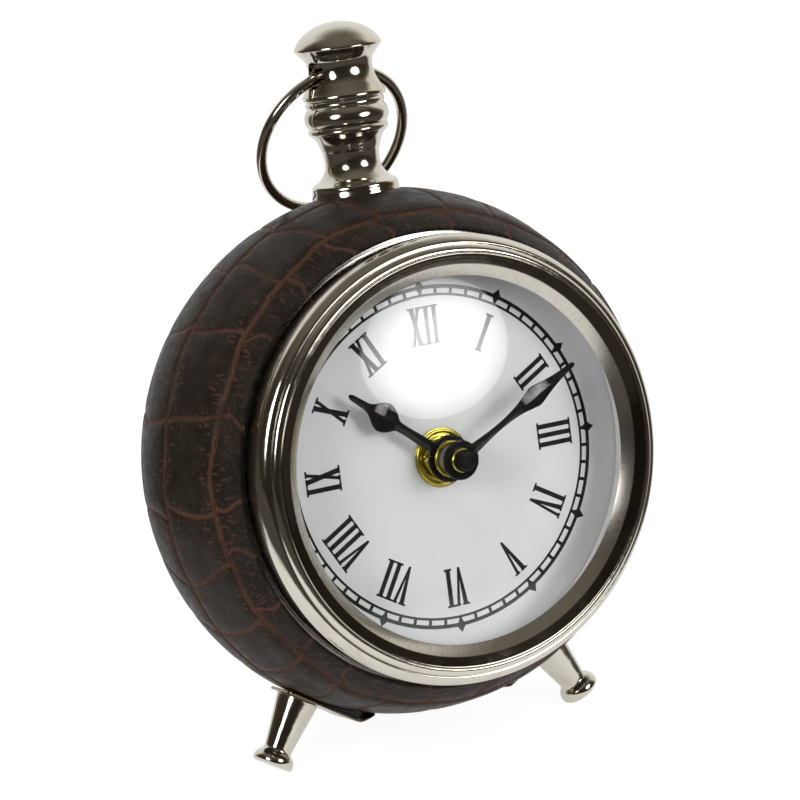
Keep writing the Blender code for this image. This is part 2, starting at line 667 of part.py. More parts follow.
def make_lid():
    """The pressed back cover: a flange on the drum's edge, a skirt in its opening and a dished panel."""
    flange_z = SHELL_REAR_Z - GAP
    skirt_r = REAR_OPENING_R - GAP
    skirt_top = flange_z + LID_SKIRT_DEPTH
    inner_r = skirt_r - LID_T
    panel_z = flange_z + LID_DISH
    bead_r = LID_R - LID_BEAD_W
    profile = [
        (0, panel_z), (inner_r, panel_z), (inner_r, skirt_top), (skirt_r, skirt_top), (skirt_r, flange_z),
        (LID_R, flange_z), (LID_R, flange_z - LID_T / 2), (LID_R - LID_T / 2, flange_z - LID_T),
        (bead_r, flange_z - LID_T), (bead_r - LID_T, panel_z - LID_T), (0, panel_z - LID_T)]
    lid = turned("rear_lid", profile, "nickel", INNER_STEPS)
    notch = rod("lid_notch", LID_NOTCH_R, flange_z - LID_T - OVERRUN, flange_z + GAP, SMALL_STEPS)
    shift(notch, y=-(LID_R + LID_NOTCH_R - LID_NOTCH_DEPTH))
    return cut(lid, notch)


def housing_outline(steps=4):
    """Outline of the movement's housing, with round corners."""
    corner = CASE_CORNER_R
    points = []
    for quarter in range(4):
        turn = math.pi / 2 * quarter
        for index in range(steps + 1):
            angle = turn + math.pi / 2 * index / steps
            x = (CASE_HALF_X - corner) * (1 if quarter in (0, 3) else -1) + corner * math.cos(angle)
            y = (CASE_HALF_Y - corner) * (1 if quarter in (0, 1) else -1) + corner * math.sin(angle)
            points.append((x, y))
    return points


def make_movement_front():
    """Front half of the movement's housing: a tray with a bored front wall and the battery's partition."""
    tray = plate("movement_front", housing_outline(), CASE_SPLIT_Z, CASE_FRONT_Z, "movement_black")
    low = CASE_SPLIT_Z - OVERRUN
    corner = (INNER_HALF_X, PARTITION_Y, CASE_INNER_Z)
    gears = block("front_gear_room", (-INNER_HALF_X, -INNER_HALF_Y, low), corner)
    bay = block("front_battery_bay", (-INNER_HALF_X, PARTITION_Y + PARTITION_T, low),
                (INNER_HALF_X, INNER_HALF_Y, CASE_INNER_Z))
    bore = rod("front_bore", BUSH_R + PUSH_FIT, CASE_INNER_Z - OVERRUN, CASE_FRONT_Z + OVERRUN)
    return cut(tray, gears, bay, bore)


def make_movement_back():
    """Back half of the housing: its wall has the battery's window and the hole for the setting staff."""
    top = CASE_SPLIT_Z - GAP
    wall_z = CASE_BACK_Z + CASE_WALL
    high = top + OVERRUN
    tray = plate("movement_back", housing_outline(), CASE_BACK_Z, top, "movement_black")
    gears = block("back_gear_room", (-INNER_HALF_X, -INNER_HALF_Y, wall_z), (INNER_HALF_X, PARTITION_Y, high))
    window = block("back_window", (-INNER_HALF_X, PARTITION_Y + PARTITION_T, CASE_BACK_Z - OVERRUN),
                   (INNER_HALF_X, INNER_HALF_Y, high))
    bore = rod("back_bore", STAFF_R + RUNNING_FIT, CASE_BACK_Z - OVERRUN, wall_z + OVERRUN, SCREW_STEPS)
    shift(bore, y=-CENTRE_DISTANCE)
    return cut(tray, gears, window, bore)


def make_train_plate():
    """The plate inside the housing that the arbor and the staff turn in."""
    half_x = INNER_HALF_X - GAP
    sheet = block("train_plate", (-half_x, GAP - INNER_HALF_Y, TRAIN_PLATE_LOW_Z),
                  (half_x, PARTITION_Y - GAP, TRAIN_PLATE_TOP_Z), "movement_black")
    low = TRAIN_PLATE_LOW_Z - OVERRUN
    high = TRAIN_PLATE_TOP_Z + OVERRUN
    arbor_hole = rod("arbor_hole", PIVOT_R + RUNNING_FIT, low, high, SCREW_STEPS)
    staff_hole = rod("staff_hole", STAFF_R + RUNNING_FIT, low, high, SCREW_STEPS)
    shift(staff_hole, y=-CENTRE_DISTANCE)
    return cut(sheet, arbor_hole, staff_hole)


def make_gasket():
    inner_r = BUSH_R + GAP
    profile = [(inner_r, SEAT_Z), (GASKET_R, SEAT_Z), (GASKET_R, GASKET_BACK_Z), (inner_r, GASKET_BACK_Z)]
    return turned("movement_gasket", profile, "rubber", ring=True)


def make_bush():
    """The brass bush that passes through the dial, with its flange behind the housing's front wall."""
    profile = [
        (BUSH_BORE_R, BUSH_TOP_Z), (BUSH_R, BUSH_TOP_Z), (BUSH_R, BUSH_FLANGE_TOP_Z),
        (BUSH_FLANGE_R, BUSH_FLANGE_TOP_Z), (BUSH_FLANGE_R, BUSH_FLANGE_LOW_Z),
        (BUSH_BORE_R, BUSH_FLANGE_LOW_Z)]
    return turned("threaded_bush", profile, "brass", ring=True)


def make_washer():
    inner_r = BUSH_R + GAP
    top = GAP + WASHER_T
    edge = WASHER_T / 3
    profile = [
        (inner_r, top), (WASHER_R - edge, top), (WASHER_R, top - edge), (WASHER_R, GAP), (inner_r, GAP)]
    return turned("dial_washer", profile, "brass", ring=True)


def make_nut():
    """Hexagon nut with its corners turned down to a cone on the front."""
    low = GAP + WASHER_T + GAP
    high = low + NUT_T
    flat_r = NUT_ACROSS_FLATS / 2
    corner_r = flat_r / math.cos(math.pi / NUT_SIDES)
    nut = rod("dial_nut", corner_r, low, high, NUT_SIDES, "brass")
    trim = turned("nut_chamfer", [(0, high + OVERRUN), (flat_r - OVERRUN, high + OVERRUN),
                                  (corner_r + OVERRUN / 2, high - OVERRUN), (0, low - OVERRUN)])
    trimmed = combine(nut, "INTERSECT", [trim])
    return cut(trimmed, rod("nut_bore", BUSH_R + PUSH_FIT, low - OVERRUN, high + OVERRUN))


def gear_outline(teeth, shares):
    """Outline of a clock wheel: radial flanks below the pitch circle and a tapered top above it."""
    addendum_share, dedendum_share, thickness_share, tip_share = shares
    pitch_r = GEAR_MODULE * teeth / 2
    half = math.pi / teeth / 2 * thickness_share
    addendum = GEAR_MODULE * addendum_share
    flank = (
        (pitch_r - GEAR_MODULE * dedendum_share, 1), (pitch_r, 1), (pitch_r + addendum, tip_share))
    points = []
    for tooth in range(teeth):
        middle = math.tau * tooth / teeth
        for radius, width in flank:
            points.append((radius, middle - half * width))
        for radius, width in reversed(flank):
            points.append((radius, middle + half * width))
    return [(radius * math.cos(angle), radius * math.sin(angle)) for radius, angle in points]


def spun(outline, angle):
    """An outline turned about its centre."""
    turn = Matrix.Rotation(angle, 2)
    return [tuple(turn @ Vector(point)) for point in outline]


def make_hour_wheel():
    """The hour wheel and its pipe, which carries the hour hand over the bush."""
    toothed = spun(gear_outline(HOUR_WHEEL_TEETH, WHEEL_TOOTH_SHARES), -math.pi / 2)
    wheel = plate("hour_wheel", toothed, HOUR_WHEEL_LOW_Z, HOUR_WHEEL_TOP_Z, "gear_white")
    pipe = rod("hour_pipe", HOUR_PIPE_R, HOUR_WHEEL_LOW_Z + GAP, HOUR_PIPE_TOP_Z)
    bore = rod("hour_bore", HOUR_PIPE_BORE_R, HOUR_WHEEL_LOW_Z - OVERRUN, HOUR_PIPE_TOP_Z + OVERRUN)
    return cut(join(wheel, pipe), bore)


def make_cannon_pinion():
    """The minute arbor with its pinion, the shoulder for the minute hand and the pivot at the back."""
    toothed = spun(gear_outline(CANNON_LEAVES, PINION_TOOTH_SHARES), -math.pi / 2)
    pinion = plate("cannon_pinion", toothed, CANNON_LOW_Z, CANNON_TOP_Z, "gear_white")
    pivot_low = TRAIN_PLATE_LOW_Z - GAP
    profile = [
        (0, ARBOR_TOP_Z), (ARBOR_TOP_R, ARBOR_TOP_Z), (ARBOR_TOP_R, ARBOR_SHOULDER_Z),
        (ARBOR_R, ARBOR_SHOULDER_Z), (ARBOR_R, CANNON_LOW_Z + GAP), (PIVOT_R, CANNON_LOW_Z + GAP),
        (PIVOT_R, pivot_low), (0, pivot_low)]
    return join(pinion, turned("arbor", profile))


def make_minute_wheel():
    """The minute wheel and its pinion on one staff, which reaches through the back to the setting knob."""
    gap_turn = math.pi / MINUTE_WHEEL_TEETH
    toothed = spun(gear_outline(MINUTE_WHEEL_TEETH, WHEEL_TOOTH_SHARES), math.pi / 2 + gap_turn)
    wheel = plate("minute_wheel", toothed, MINUTE_WHEEL_LOW_Z, MINUTE_WHEEL_TOP_Z, "gear_white")
    leaf_turn = math.pi / MINUTE_PINION_LEAVES
    leaves = spun(gear_outline(MINUTE_PINION_LEAVES, PINION_TOOTH_SHARES), math.pi / 2 + leaf_turn)
    pinion_top = HOUR_WHEEL_TOP_Z + GAP
    pinion = plate("minute_pinion", leaves, MINUTE_WHEEL_TOP_Z - GAP, pinion_top)
    staff = rod("staff", STAFF_R, staff_end_z(), CASE_INNER_Z - GAP, SCREW_STEPS)
    for piece in (wheel, pinion, staff):
        shift(piece, y=-CENTRE_DISTANCE)
    return join(wheel, pinion, staff)


def staff_end_z():
    """Where the setting staff ends, just inside the knob's face."""
    return CASE_BACK_Z - GAP - KNOB_T + GAP


def make_knob():
    """The notched knob on the setting staff, outside the housing's back."""
    points = []
    for index in range(2 * KNOB_NOTCHES):
        angle = math.pi * index / KNOB_NOTCHES
        radius = KNOB_R - KNOB_NOTCH_DEPTH * (index % 2)
        points.append((radius * math.cos(angle), radius * math.sin(angle)))
    top = CASE_BACK_Z - GAP
    knob = plate("setting_knob", points, top - KNOB_T, top, "gear_white")
    bore = rod("knob_bore", STAFF_R + PUSH_FIT, top - KNOB_T - OVERRUN, top + OVERRUN, SCREW_STEPS)
    for piece in (knob, bore):
        shift(piece, y=-CENTRE_DISTANCE)
    return cut(knob, bore)


def blade_outline(length, half_width, shares):
    """Outline of a hand's blade that points up y, mirrored about its middle."""
    right = [(half_width * width, length * along) for along, width in shares]
    left = [(-x, y) for x, y in reversed(right)]
    return right + left


def make_hand(name, length, half_width, hub_r, shares, low, hole_r, angle):
    """A hand with a flat hub and a ridged blade, turned to its place on the dial at rest."""
    root_x = half_width * shares[0][1]
    root_y = hub_r - BLADE_ROOT
    outline = [(root_x, root_y), *blade_outline(length, half_width, shares[1:]), (-root_x, root_y)]
    hand = plate(name, outline, low, low + BLADE_RIDGE_T, "hand_black")
    edge_z = low + BLADE_EDGE_T
    ridge_z = low + BLADE_RIDGE_T
    wide = half_width + OVERRUN
    slope_share = wide / half_width
    edge_drop = (ridge_z - edge_z) * slope_share
    roof_section = [(-wide, low - OVERRUN), (wide, low - OVERRUN), (wide, ridge_z - edge_drop), (0, ridge_z),
                    (-wide, ridge_z - edge_drop)]
    roof = plate(f"{name}_roof", roof_section, -length - OVERRUN, OVERRUN)
    hub = rod(f"{name}_hub", hub_r, low, low + HAND_T)
    hole = rod(f"{name}_hole", hole_r, low - OVERRUN, low + HAND_T + OVERRUN)
    for piece in (hand, hub, hole):
        piece.rotation_euler = (0, 0, -angle)
    roof.rotation_euler = (math.pi / 2, 0, -angle)
    combine(hand, "INTERSECT", [roof])
    return cut(join(hand, hub), hole)


def collet_profile(bore_r, hand_low):
    """A brass collet: a flange under the hand, a neck through it and a rim over it."""
    neck_r = bore_r + COLLET_WALL
    rim_r = neck_r + COLLET_FLANGE_W
    hand_high = hand_low + HAND_T
    rim_low = hand_high + GAP / 2
    flange_top = hand_low - GAP / 2
    return [
        (bore_r, rim_low + COLLET_RIM_RISE), (rim_r, rim_low + COLLET_RIM_RISE), (rim_r, rim_low),
        (neck_r, rim_low), (neck_r, flange_top), (rim_r, flange_top),
        (rim_r, flange_top - COLLET_FLANGE_T), (bore_r, flange_top - COLLET_FLANGE_T)]


def make_hands():
    """Both hands, each on its own collet."""
    hour_bore = HOUR_PIPE_R + PUSH_FIT
    minute_bore = ARBOR_TOP_R + PUSH_FIT
    turned("hour_collet", collet_profile(hour_bore, HOUR_Z), "brass", ring=True)
    turned("minute_collet", collet_profile(minute_bore, MINUTE_Z), "brass", ring=True)
    make_hand("hour_hand", HOUR_LENGTH, HOUR_HALF_WIDTH, HOUR_HUB_R, HOUR_OUTLINE_SHARES, HOUR_Z,
              hour_bore + COLLET_WALL + PUSH_FIT, HOUR_ANGLE)
    make_hand("minute_hand", MINUTE_LENGTH, MINUTE_HALF_WIDTH, MINUTE_HUB_R, MINUTE_OUTLINE_SHARES, MINUTE_Z,
              minute_bore + COLLET_WALL + PUSH_FIT, MINUTE_ANGLE)


def make_cap_nut():
    """The stepped black cap that holds the minute hand, bored from below."""
    low = MINUTE_Z + HAND_T + GAP / 2 + COLLET_RIM_RISE + GAP / 2
    step = low + CAP_FLANGE_T
    edge = (CAP_TOP_Z - step) / 4
    bore_r = ARBOR_TOP_R + PUSH_FIT
    bore_top = ARBOR_TOP_Z + GAP
    profile = [
        (0, CAP_TOP_Z), (CAP_R - edge, CAP_TOP_Z), (CAP_R, CAP_TOP_Z - edge), (CAP_R, step),
        (CAP_FLANGE_R - edge, step), (CAP_FLANGE_R, step - edge), (CAP_FLANGE_R, low), (bore_r, low),
        (bore_r, bore_top), (0, bore_top)]
    return turned("cap_nut", profile, "hand_black")


def make_battery():
    """A round cell that lies along x in its bay, with its button to the right."""
    half = BATTERY_LENGTH / 2
    shoulder = half - BATTERY_BUTTON_T
    profile = [
        (0, half), (BATTERY_BUTTON_R, half), (BATTERY_BUTTON_R, shoulder),
        (BATTERY_R - BATTERY_EDGE, shoulder), (BATTERY_R, shoulder - BATTERY_EDGE),
        (BATTERY_R, -half + BATTERY_EDGE), (BATTERY_R - BATTERY_EDGE, -half),
        (0, -half)]
    battery = turned("battery", profile, "battery_sleeve")
    return aim(battery, (0, BATTERY_Y, BATTERY_Z), (1, 0, 0))


def make_contact(name, side):
    """A sprung strip at one end of the battery, bowed towards it."""
    wall_x = INNER_HALF_X - GAP
    tip_x = BATTERY_LENGTH / 2 + GAP + CONTACT_T
    half = CONTACT_HEIGHT / 2
    outline = [(wall_x, -half), (wall_x, half), (wall_x - CONTACT_T, half), (tip_x - CONTACT_T, 0),
               (wall_x - CONTACT_T, -half)]
    bowed = [(side * x, y + BATTERY_Y) for x, y in outline]
    half_depth = CONTACT_WIDTH / 2
    return plate(name, bowed, BATTERY_Z - half_depth, BATTERY_Z + half_depth, "nickel")


def make_drive_parts():
    """The circuit board, the drive coil and its stator, in the room behind the train plate."""
    side = INNER_HALF_X - GAP
    floor = GAP - INNER_HALF_Y
    high = TRAIN_PLATE_LOW_Z - GAP
    block("circuit_board", (-side, floor, high - BOARD_T), (BOARD_LENGTH - side, floor + BOARD_WIDTH, high),
          "board_green")
    half = COIL_LENGTH / 2
    inner = half - COIL_FLANGE_T
    core = half + COIL_FLANGE_T
    winding_r = COIL_R - COIL_FLANGE_T / 2
    profile = [
        (0, core), (COIL_CORE_R, core), (COIL_CORE_R, half), (COIL_R, half), (COIL_R, inner),
        (winding_r, inner),
        (winding_r, -inner), (COIL_R, -inner), (COIL_R, -half), (COIL_CORE_R, -half), (COIL_CORE_R, -core),
        (0, -core)]
    coil = turned("drive_coil", profile, "copper", SCREW_STEPS)
    stator_x = side - STATOR_WIDTH
    aim(coil, (stator_x - GAP - COIL_R, floor + core, high - COIL_R), (0, 1, 0))
    stator = block("stator", (stator_x, floor, high - STATOR_T), (side, floor + 2 * core, high), "spun_steel")
    rotor_hole = rod("rotor_hole", STATOR_WIDTH / 4, high - STATOR_T - OVERRUN, high + OVERRUN, SCREW_STEPS)
    cut(stator, shift(rotor_hole, x=stator_x + STATOR_WIDTH / 2, y=floor + core))


def between(start, end, shares):
    """Points from one place of a profile to the next, as shares of the way down and of the radius."""
    (start_r, start_y), (end_r, end_y) = start, end
    return [(start_r + (end_r - start_r) * out, start_y + (end_y - start_y) * down) for down, out in shares]


def finial_profile():
    """The turned post, from the crown of its cap to the foot, which is later trimmed to the leather."""
    rim = (FINIAL_CAP_R, FINIAL_RIM_Y)
    lip = (FINIAL_NECK_R, FINIAL_LIP_Y)
    neck = (FINIAL_NECK_R, FINIAL_NECK_Y)
    band = (FINIAL_BAND_R, FINIAL_BAND_Y)
    waist = (FINIAL_WAIST_R, FINIAL_WAIST_Y)
    flare = (FINIAL_BASE_R, FINIAL_FLARE_Y)
    crown = []
    for index in range(FINIAL_CROWN_RUNS):
        angle = math.pi / 2 * index / FINIAL_CROWN_RUNS
        crown.append((FINIAL_CAP_R * math.sin(angle), FINIAL_RIM_Y + FINIAL_CROWN_H * math.cos(angle)))
    foot_y = FINIAL_ROOT_Y - OVERRUN
    return [
        *crown, rim, *between(rim, lip, RIM_TO_NECK_SHARES), neck, *between(neck, band, NECK_TO_BAND_SHARES),
        *between(band, waist, BAND_TO_WAIST_SHARES), *between(waist, flare, WAIST_TO_FLARE_SHARES),
        (FINIAL_BASE_R, foot_y), (0, foot_y)]


def make_finial():
    """The post on top: bored across for the bail, trimmed to the leather and bored below for its screw."""
    post = turned("finial", finial_profile(), "nickel", FINIAL_STEPS)
    aim(post, (0, 0, POST_Z), (0, 1, 0))
    bail_hole = rod("bail_hole", BAIL_HOLE_R, -FINIAL_CAP_R - OVERRUN, FINIAL_CAP_R + OVERRUN)
    aim(bail_hole, (0, FINIAL_HOLE_Y, POST_Z), (1, 0, 0))
    bore_top = FINIAL_ROOT_Y + FINIAL_SCREW_DEPTH + GAP
    screw_bore = rod("finial_screw_bore", SCREW_R + PUSH_FIT, FINIAL_ROOT_Y - OVERRUN, bore_top, SCREW_STEPS)
    aim(screw_bore, (0, 0, POST_Z), (0, 1, 0))
    return cut(post, bail_hole, barrel_cutter("finial_trim"), screw_bore)


def bail_rest_angle(side):
    """Angle between straight down and the bail's plane where the ring lies on the leather.

    The ring's far point moves on a circle about the hole, and it rests where that circle meets the arc of the
    drum's side, grown by the wire. side is -1 behind the finial and 1 in front of it.
    """
    reach = 2 * BAIL_R - BAIL_HALF_SAG
    down = FINIAL_HOLE_Y - ARC_CENTRE_R
    across = BARREL_MID_Z - POST_Z
    apart = math.hypot(down, across)
    rest = BARREL_ARC_R + BAIL_WIRE_R + GAP
    between = math.acos((reach ** 2 + apart ** 2 - rest ** 2) / (2 * reach * apart))
    return between + side * math.atan2(across, down)


def make_bail():
    """The ring, turned about its own middle and carried by an empty on its hinge, from which it hangs back.

    Inside the hole the wire bows as far above the hinge as it drops below it at the hole's mouths.
    """
    hinge = bpy.data.objects.new("bail_hinge", None)
    PARTS.objects.link(hinge)
    hinge.parent = HEAD
    hinge.location = (0, FINIAL_HOLE_Y, POST_Z)
    hinge.rotation_euler = (bail_rest_angle(-1), 0, 0)
    section = []
    for side in range(BAIL_SIDES):
        angle = math.pi / 2 - math.tau * side / BAIL_SIDES
        section.append((BAIL_R + BAIL_WIRE_R * math.cos(angle), BAIL_WIRE_R * math.sin(angle)))
    ring = turned("bail_ring", section, "nickel", BAIL_STEPS, ring=True)
    ring.parent = hinge
    return shift(ring, y=BAIL_HALF_SAG - BAIL_R)


def foot_profile(length, root_r):
    """A foot along its own z axis: its root at zero and its flat sole at its length."""
    neck_z = length - FOOT_BEAD_T
    belly_z = length - FOOT_BEAD_T / 3
    return [
        (0, length), (FOOT_SOLE_R, length), (FOOT_BEAD_R, (length + belly_z) / 2), (FOOT_BEAD_R, belly_z),
        ((FOOT_BEAD_R + FOOT_NECK_R) / 2, neck_z + FOOT_BEAD_T / 4), (FOOT_NECK_R, neck_z), (root_r, 0),
        (0, 0)]


def height_of(vector):
    """How high a vector of the head frame rises in the world."""
    return vector.y * math.cos(LEAN) + vector.z * math.sin(LEAN)


def lowest(origin, direction, profile):
    """World height of the lowest point of a profile turned about a direction, from the head's origin."""
    along = height_of(direction)
    across = math.sqrt(1 - along ** 2)
    return min(height_of(origin) + z * along - r * across for r, z in profile)


def front_foot_root():
    """Distance from the drum's axis to the root of a front foot, on its saddle."""
    return barrel_radius(FOOT_Z) + GAP + SADDLE_T + GAP


def front_foot_direction(side):
    return Vector((side * math.sin(FOOT_SPREAD), -math.cos(FOOT_SPREAD), 0))


def ground_level():
    """World height of the ground below the dial's centre: the front feet's lowest point."""
    out = front_foot_direction(1)
    root = Vector((0, 0, FOOT_Z)) + out * front_foot_root()
    return lowest(root, out, foot_profile(FOOT_LENGTH, FOOT_ROOT_R))


def rear_foot_length():
    """The length at which the rear foot's lowest point is level with the front feet's."""
    out = rear_foot_direction()
    origin = rear_foot_centre() + out * BARREL_ARC_R
    drop = lowest(origin, out, foot_profile(FOOT_BEAD_T, REAR_FOOT_ROOT_R)) - ground_level()
    return FOOT_BEAD_T + drop / -height_of(out)


def make_front_foot(name, side):
    """A turned foot with its screw bore."""
    root = front_foot_root()
    out = front_foot_direction(side)
    foot = turned(name, foot_profile(FOOT_LENGTH, FOOT_ROOT_R), "nickel", FOOT_STEPS)
    aim(foot, Vector((0, 0, FOOT_Z)) + out * root, out)
    bore = rod(f"{name}_bore", SCREW_R + PUSH_FIT, -OVERRUN, SCREW_GRIP, SCREW_STEPS)
    aim(bore, foot.location, out)
    return cut(foot, bore)


def make_rear_foot():
    """The short foot behind, trimmed to the leather."""
    out = rear_foot_direction()
    length = rear_foot_length()
    profile = foot_profile(length, REAR_FOOT_ROOT_R)
    profile[-2:] = [(REAR_FOOT_ROOT_R, 0), (REAR_FOOT_ROOT_R, -OVERRUN), (0, -OVERRUN)]
    foot = turned("rear_foot", profile, "nickel", FOOT_STEPS)
    aim(foot, rear_foot_centre() + out * BARREL_ARC_R, out)
    bore = rod("rear_foot_bore", SCREW_R + PUSH_FIT, -2 * OVERRUN, length / 2, SCREW_STEPS)
    aim(bore, foot.location, out)
    trim = barrel_cutter("rear_foot_trim")
    return cut(foot, trim, bore)


def make_saddle(name, side):
    """The pressed strip between a front foot and the leather, bent back to the leather at its inner end."""
    low = barrel_radius(FOOT_Z) + GAP
    high = low + SADDLE_T
    bend = SADDLE_INNER - SADDLE_BEND
    end_low = math.sqrt(low ** 2 - SADDLE_INNER ** 2)
    outline = [
        (-SADDLE_OUTER, low), (bend - SADDLE_BEND / 2, low), (bend, low - SADDLE_T / 2),
        (SADDLE_INNER, end_low),
        (SADDLE_INNER + SADDLE_T, end_low + SADDLE_T / 2), (bend + SADDLE_T / 2, high - SADDLE_T / 3),
        (bend - SADDLE_BEND / 2, high), (-SADDLE_OUTER, high)]
    half = SADDLE_WIDTH / 2
    saddle = plate(name, outline, -half, half, "nickel")
    inward = Vector((-side * math.cos(FOOT_SPREAD), -math.sin(FOOT_SPREAD), 0))
    out = front_foot_direction(side)
    frame = Matrix((inward, out, inward.cross(out))).transposed().to_4x4()
    frame.translation = (0, 0, FOOT_Z)
    saddle.matrix_basis = frame
    hole = rod(f"{name}_hole", SCREW_HOLE_R, low - OVERRUN, high + OVERRUN, SCREW_STEPS)
    aim(hole, (0, 0, FOOT_Z), out)
    return cut(saddle, hole)


def make_screw(name, number, grip):
    """A pan-headed screw from inside the shell, which ends in the foot or the finial."""
    origin, out = screw_stations()[number]
    seat = wall_reach(number) - SCREW_SEAT_INSET
    edge = SCREW_HEAD_T / 3
    tip = wall_reach(number) + grip
    profile = [
        (0, tip), (SCREW_R, tip), (SCREW_R, seat), (SCREW_HEAD_R, seat),
        (SCREW_HEAD_R, seat - SCREW_HEAD_T + edge),
        (SCREW_HEAD_R - edge, seat - SCREW_HEAD_T), (0, seat - SCREW_HEAD_T)]
    return aim(turned(name, profile, "spun_steel", SCREW_STEPS), origin, out)


def place_head():
    """Leans the clock back, stands it on the ground and centres its length over the origin."""
    front = max(r * math.sin(LEAN) + z * math.cos(LEAN) for r, z in bezel_profile())
    rear_edge = (REAR_LIP_R + barrel_radius(LEATHER_REAR_Z)) / 2
    rear_z = LEATHER_REAR_Z - LEATHER_T - GAP
    rear = rear_edge * math.sin(LEAN) - rear_z * math.cos(LEAN)
    HEAD.location = (0, (front - rear) / 2, -ground_level())
    HEAD.rotation_euler = (math.pi / 2 - LEAN, 0, 0)


clear_scene()
PARTS = new_collection("table_clock")
CUTTERS = new_collection("cutters")
HEAD = bpy.data.objects.new("head_frame", None)
PARTS.objects.link(HEAD)
for finish_name in FINISHES:
    make_finish(finish_name)

make_shell()
make_leather()
make_bezel()
make_glass()
make_spacer()
make_dial()
make_lid()

make_gasket()
make_bush()
make_washer()
make_nut()
make_movement_front()
make_movement_back()
make_train_plate()
make_hour_wheel()
make_cannon_pinion()
make_minute_wheel()
make_knob()
make_drive_parts()
make_battery()
make_contact("contact_plus", 1)
make_contact("contact_minus", -1)

make_hands()
make_cap_nut()

make_finial()
make_bail()
make_front_foot("front_foot_left", -1)
make_front_foot("front_foot_right", 1)
make_saddle("foot_saddle_left", -1)
make_saddle("foot_saddle_right", 1)
make_rear_foot()
make_screw("finial_screw", 0, FINIAL_SCREW_DEPTH)
make_screw("foot_screw_left", 1, SCREW_GRIP)
make_screw("foot_screw_right", 2, SCREW_GRIP)
make_screw("foot_screw_rear", 3, rear_foot_length() / 2 - GAP)

place_head()
bpy.context.view_layer.update()
for part in list(PARTS.objects):
    if part.type == "MESH":
        settle(part)
for tool in list(CUTTERS.objects):
    bpy.data.objects.remove(tool, do_unlink=True)
bpy.context.view_layer.update()
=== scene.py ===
"""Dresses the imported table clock: embossed hide, turned nickel, domed glass, printed dial and pressed hands.

Sizes are in millimetres in the head frame: its z axis comes out of the dial and its y axis runs up to XII.
"""

from __future__ import annotations

import logging
import math
from collections.abc import Callable, Sequence
from dataclasses import dataclass, field
from enum import Enum

import bmesh
import bpy
import numpy as np
from mathutils import Matrix, Vector


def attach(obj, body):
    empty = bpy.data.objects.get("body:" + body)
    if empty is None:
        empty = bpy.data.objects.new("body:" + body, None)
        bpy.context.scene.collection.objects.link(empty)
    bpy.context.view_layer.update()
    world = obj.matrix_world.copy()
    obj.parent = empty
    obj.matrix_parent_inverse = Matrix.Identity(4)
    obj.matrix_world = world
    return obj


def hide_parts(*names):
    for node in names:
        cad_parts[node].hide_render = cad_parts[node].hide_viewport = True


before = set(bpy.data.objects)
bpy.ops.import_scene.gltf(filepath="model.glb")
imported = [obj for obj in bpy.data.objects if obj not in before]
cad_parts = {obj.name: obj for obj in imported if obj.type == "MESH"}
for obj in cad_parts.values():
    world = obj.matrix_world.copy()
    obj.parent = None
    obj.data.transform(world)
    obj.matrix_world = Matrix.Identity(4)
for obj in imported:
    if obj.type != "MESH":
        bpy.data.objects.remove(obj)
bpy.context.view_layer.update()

MM = 0.001
LOG = logging.getLogger("table_clock")

Colour = tuple[float, float, float]
Stop = tuple[float, ...]
Shape = list[tuple[float, float]]
Mover = Callable[[np.ndarray, np.ndarray], np.ndarray]
Node = bpy.types.ShaderNode
Socket = bpy.types.NodeSocket

WHITE: Colour = (1.0, 1.0, 1.0)
LEAN_DEG = 13.7
DIAL_CENTRE = Vector((0.0, -18.066, 73.161)) * MM
HEAD = Matrix.Translation(DIAL_CENTRE) @ Matrix.Rotation(math.radians(90.0 - LEAN_DEG), 4, "X")


class Body(Enum):
    """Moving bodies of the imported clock."""

    CASE = "case"
    MINUTE = "minute_arbor"
    HOUR = "hour_pipe"
    SETTING = "setting_staff"
    BATTERY = "battery"
    BAIL = "bail"
    LID = "lid"


class Slot(Enum):
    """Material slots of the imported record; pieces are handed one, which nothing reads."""

    NICKEL = "nickel"
    LEATHER = "leather"
    STEEL = "spun_steel"
    GLASS = "glass"
    WHITE = "dial_white"
    BLACK = "hand_black"
    BRASS = "brass"


# ------------------------------------------------------------------ shader nodes


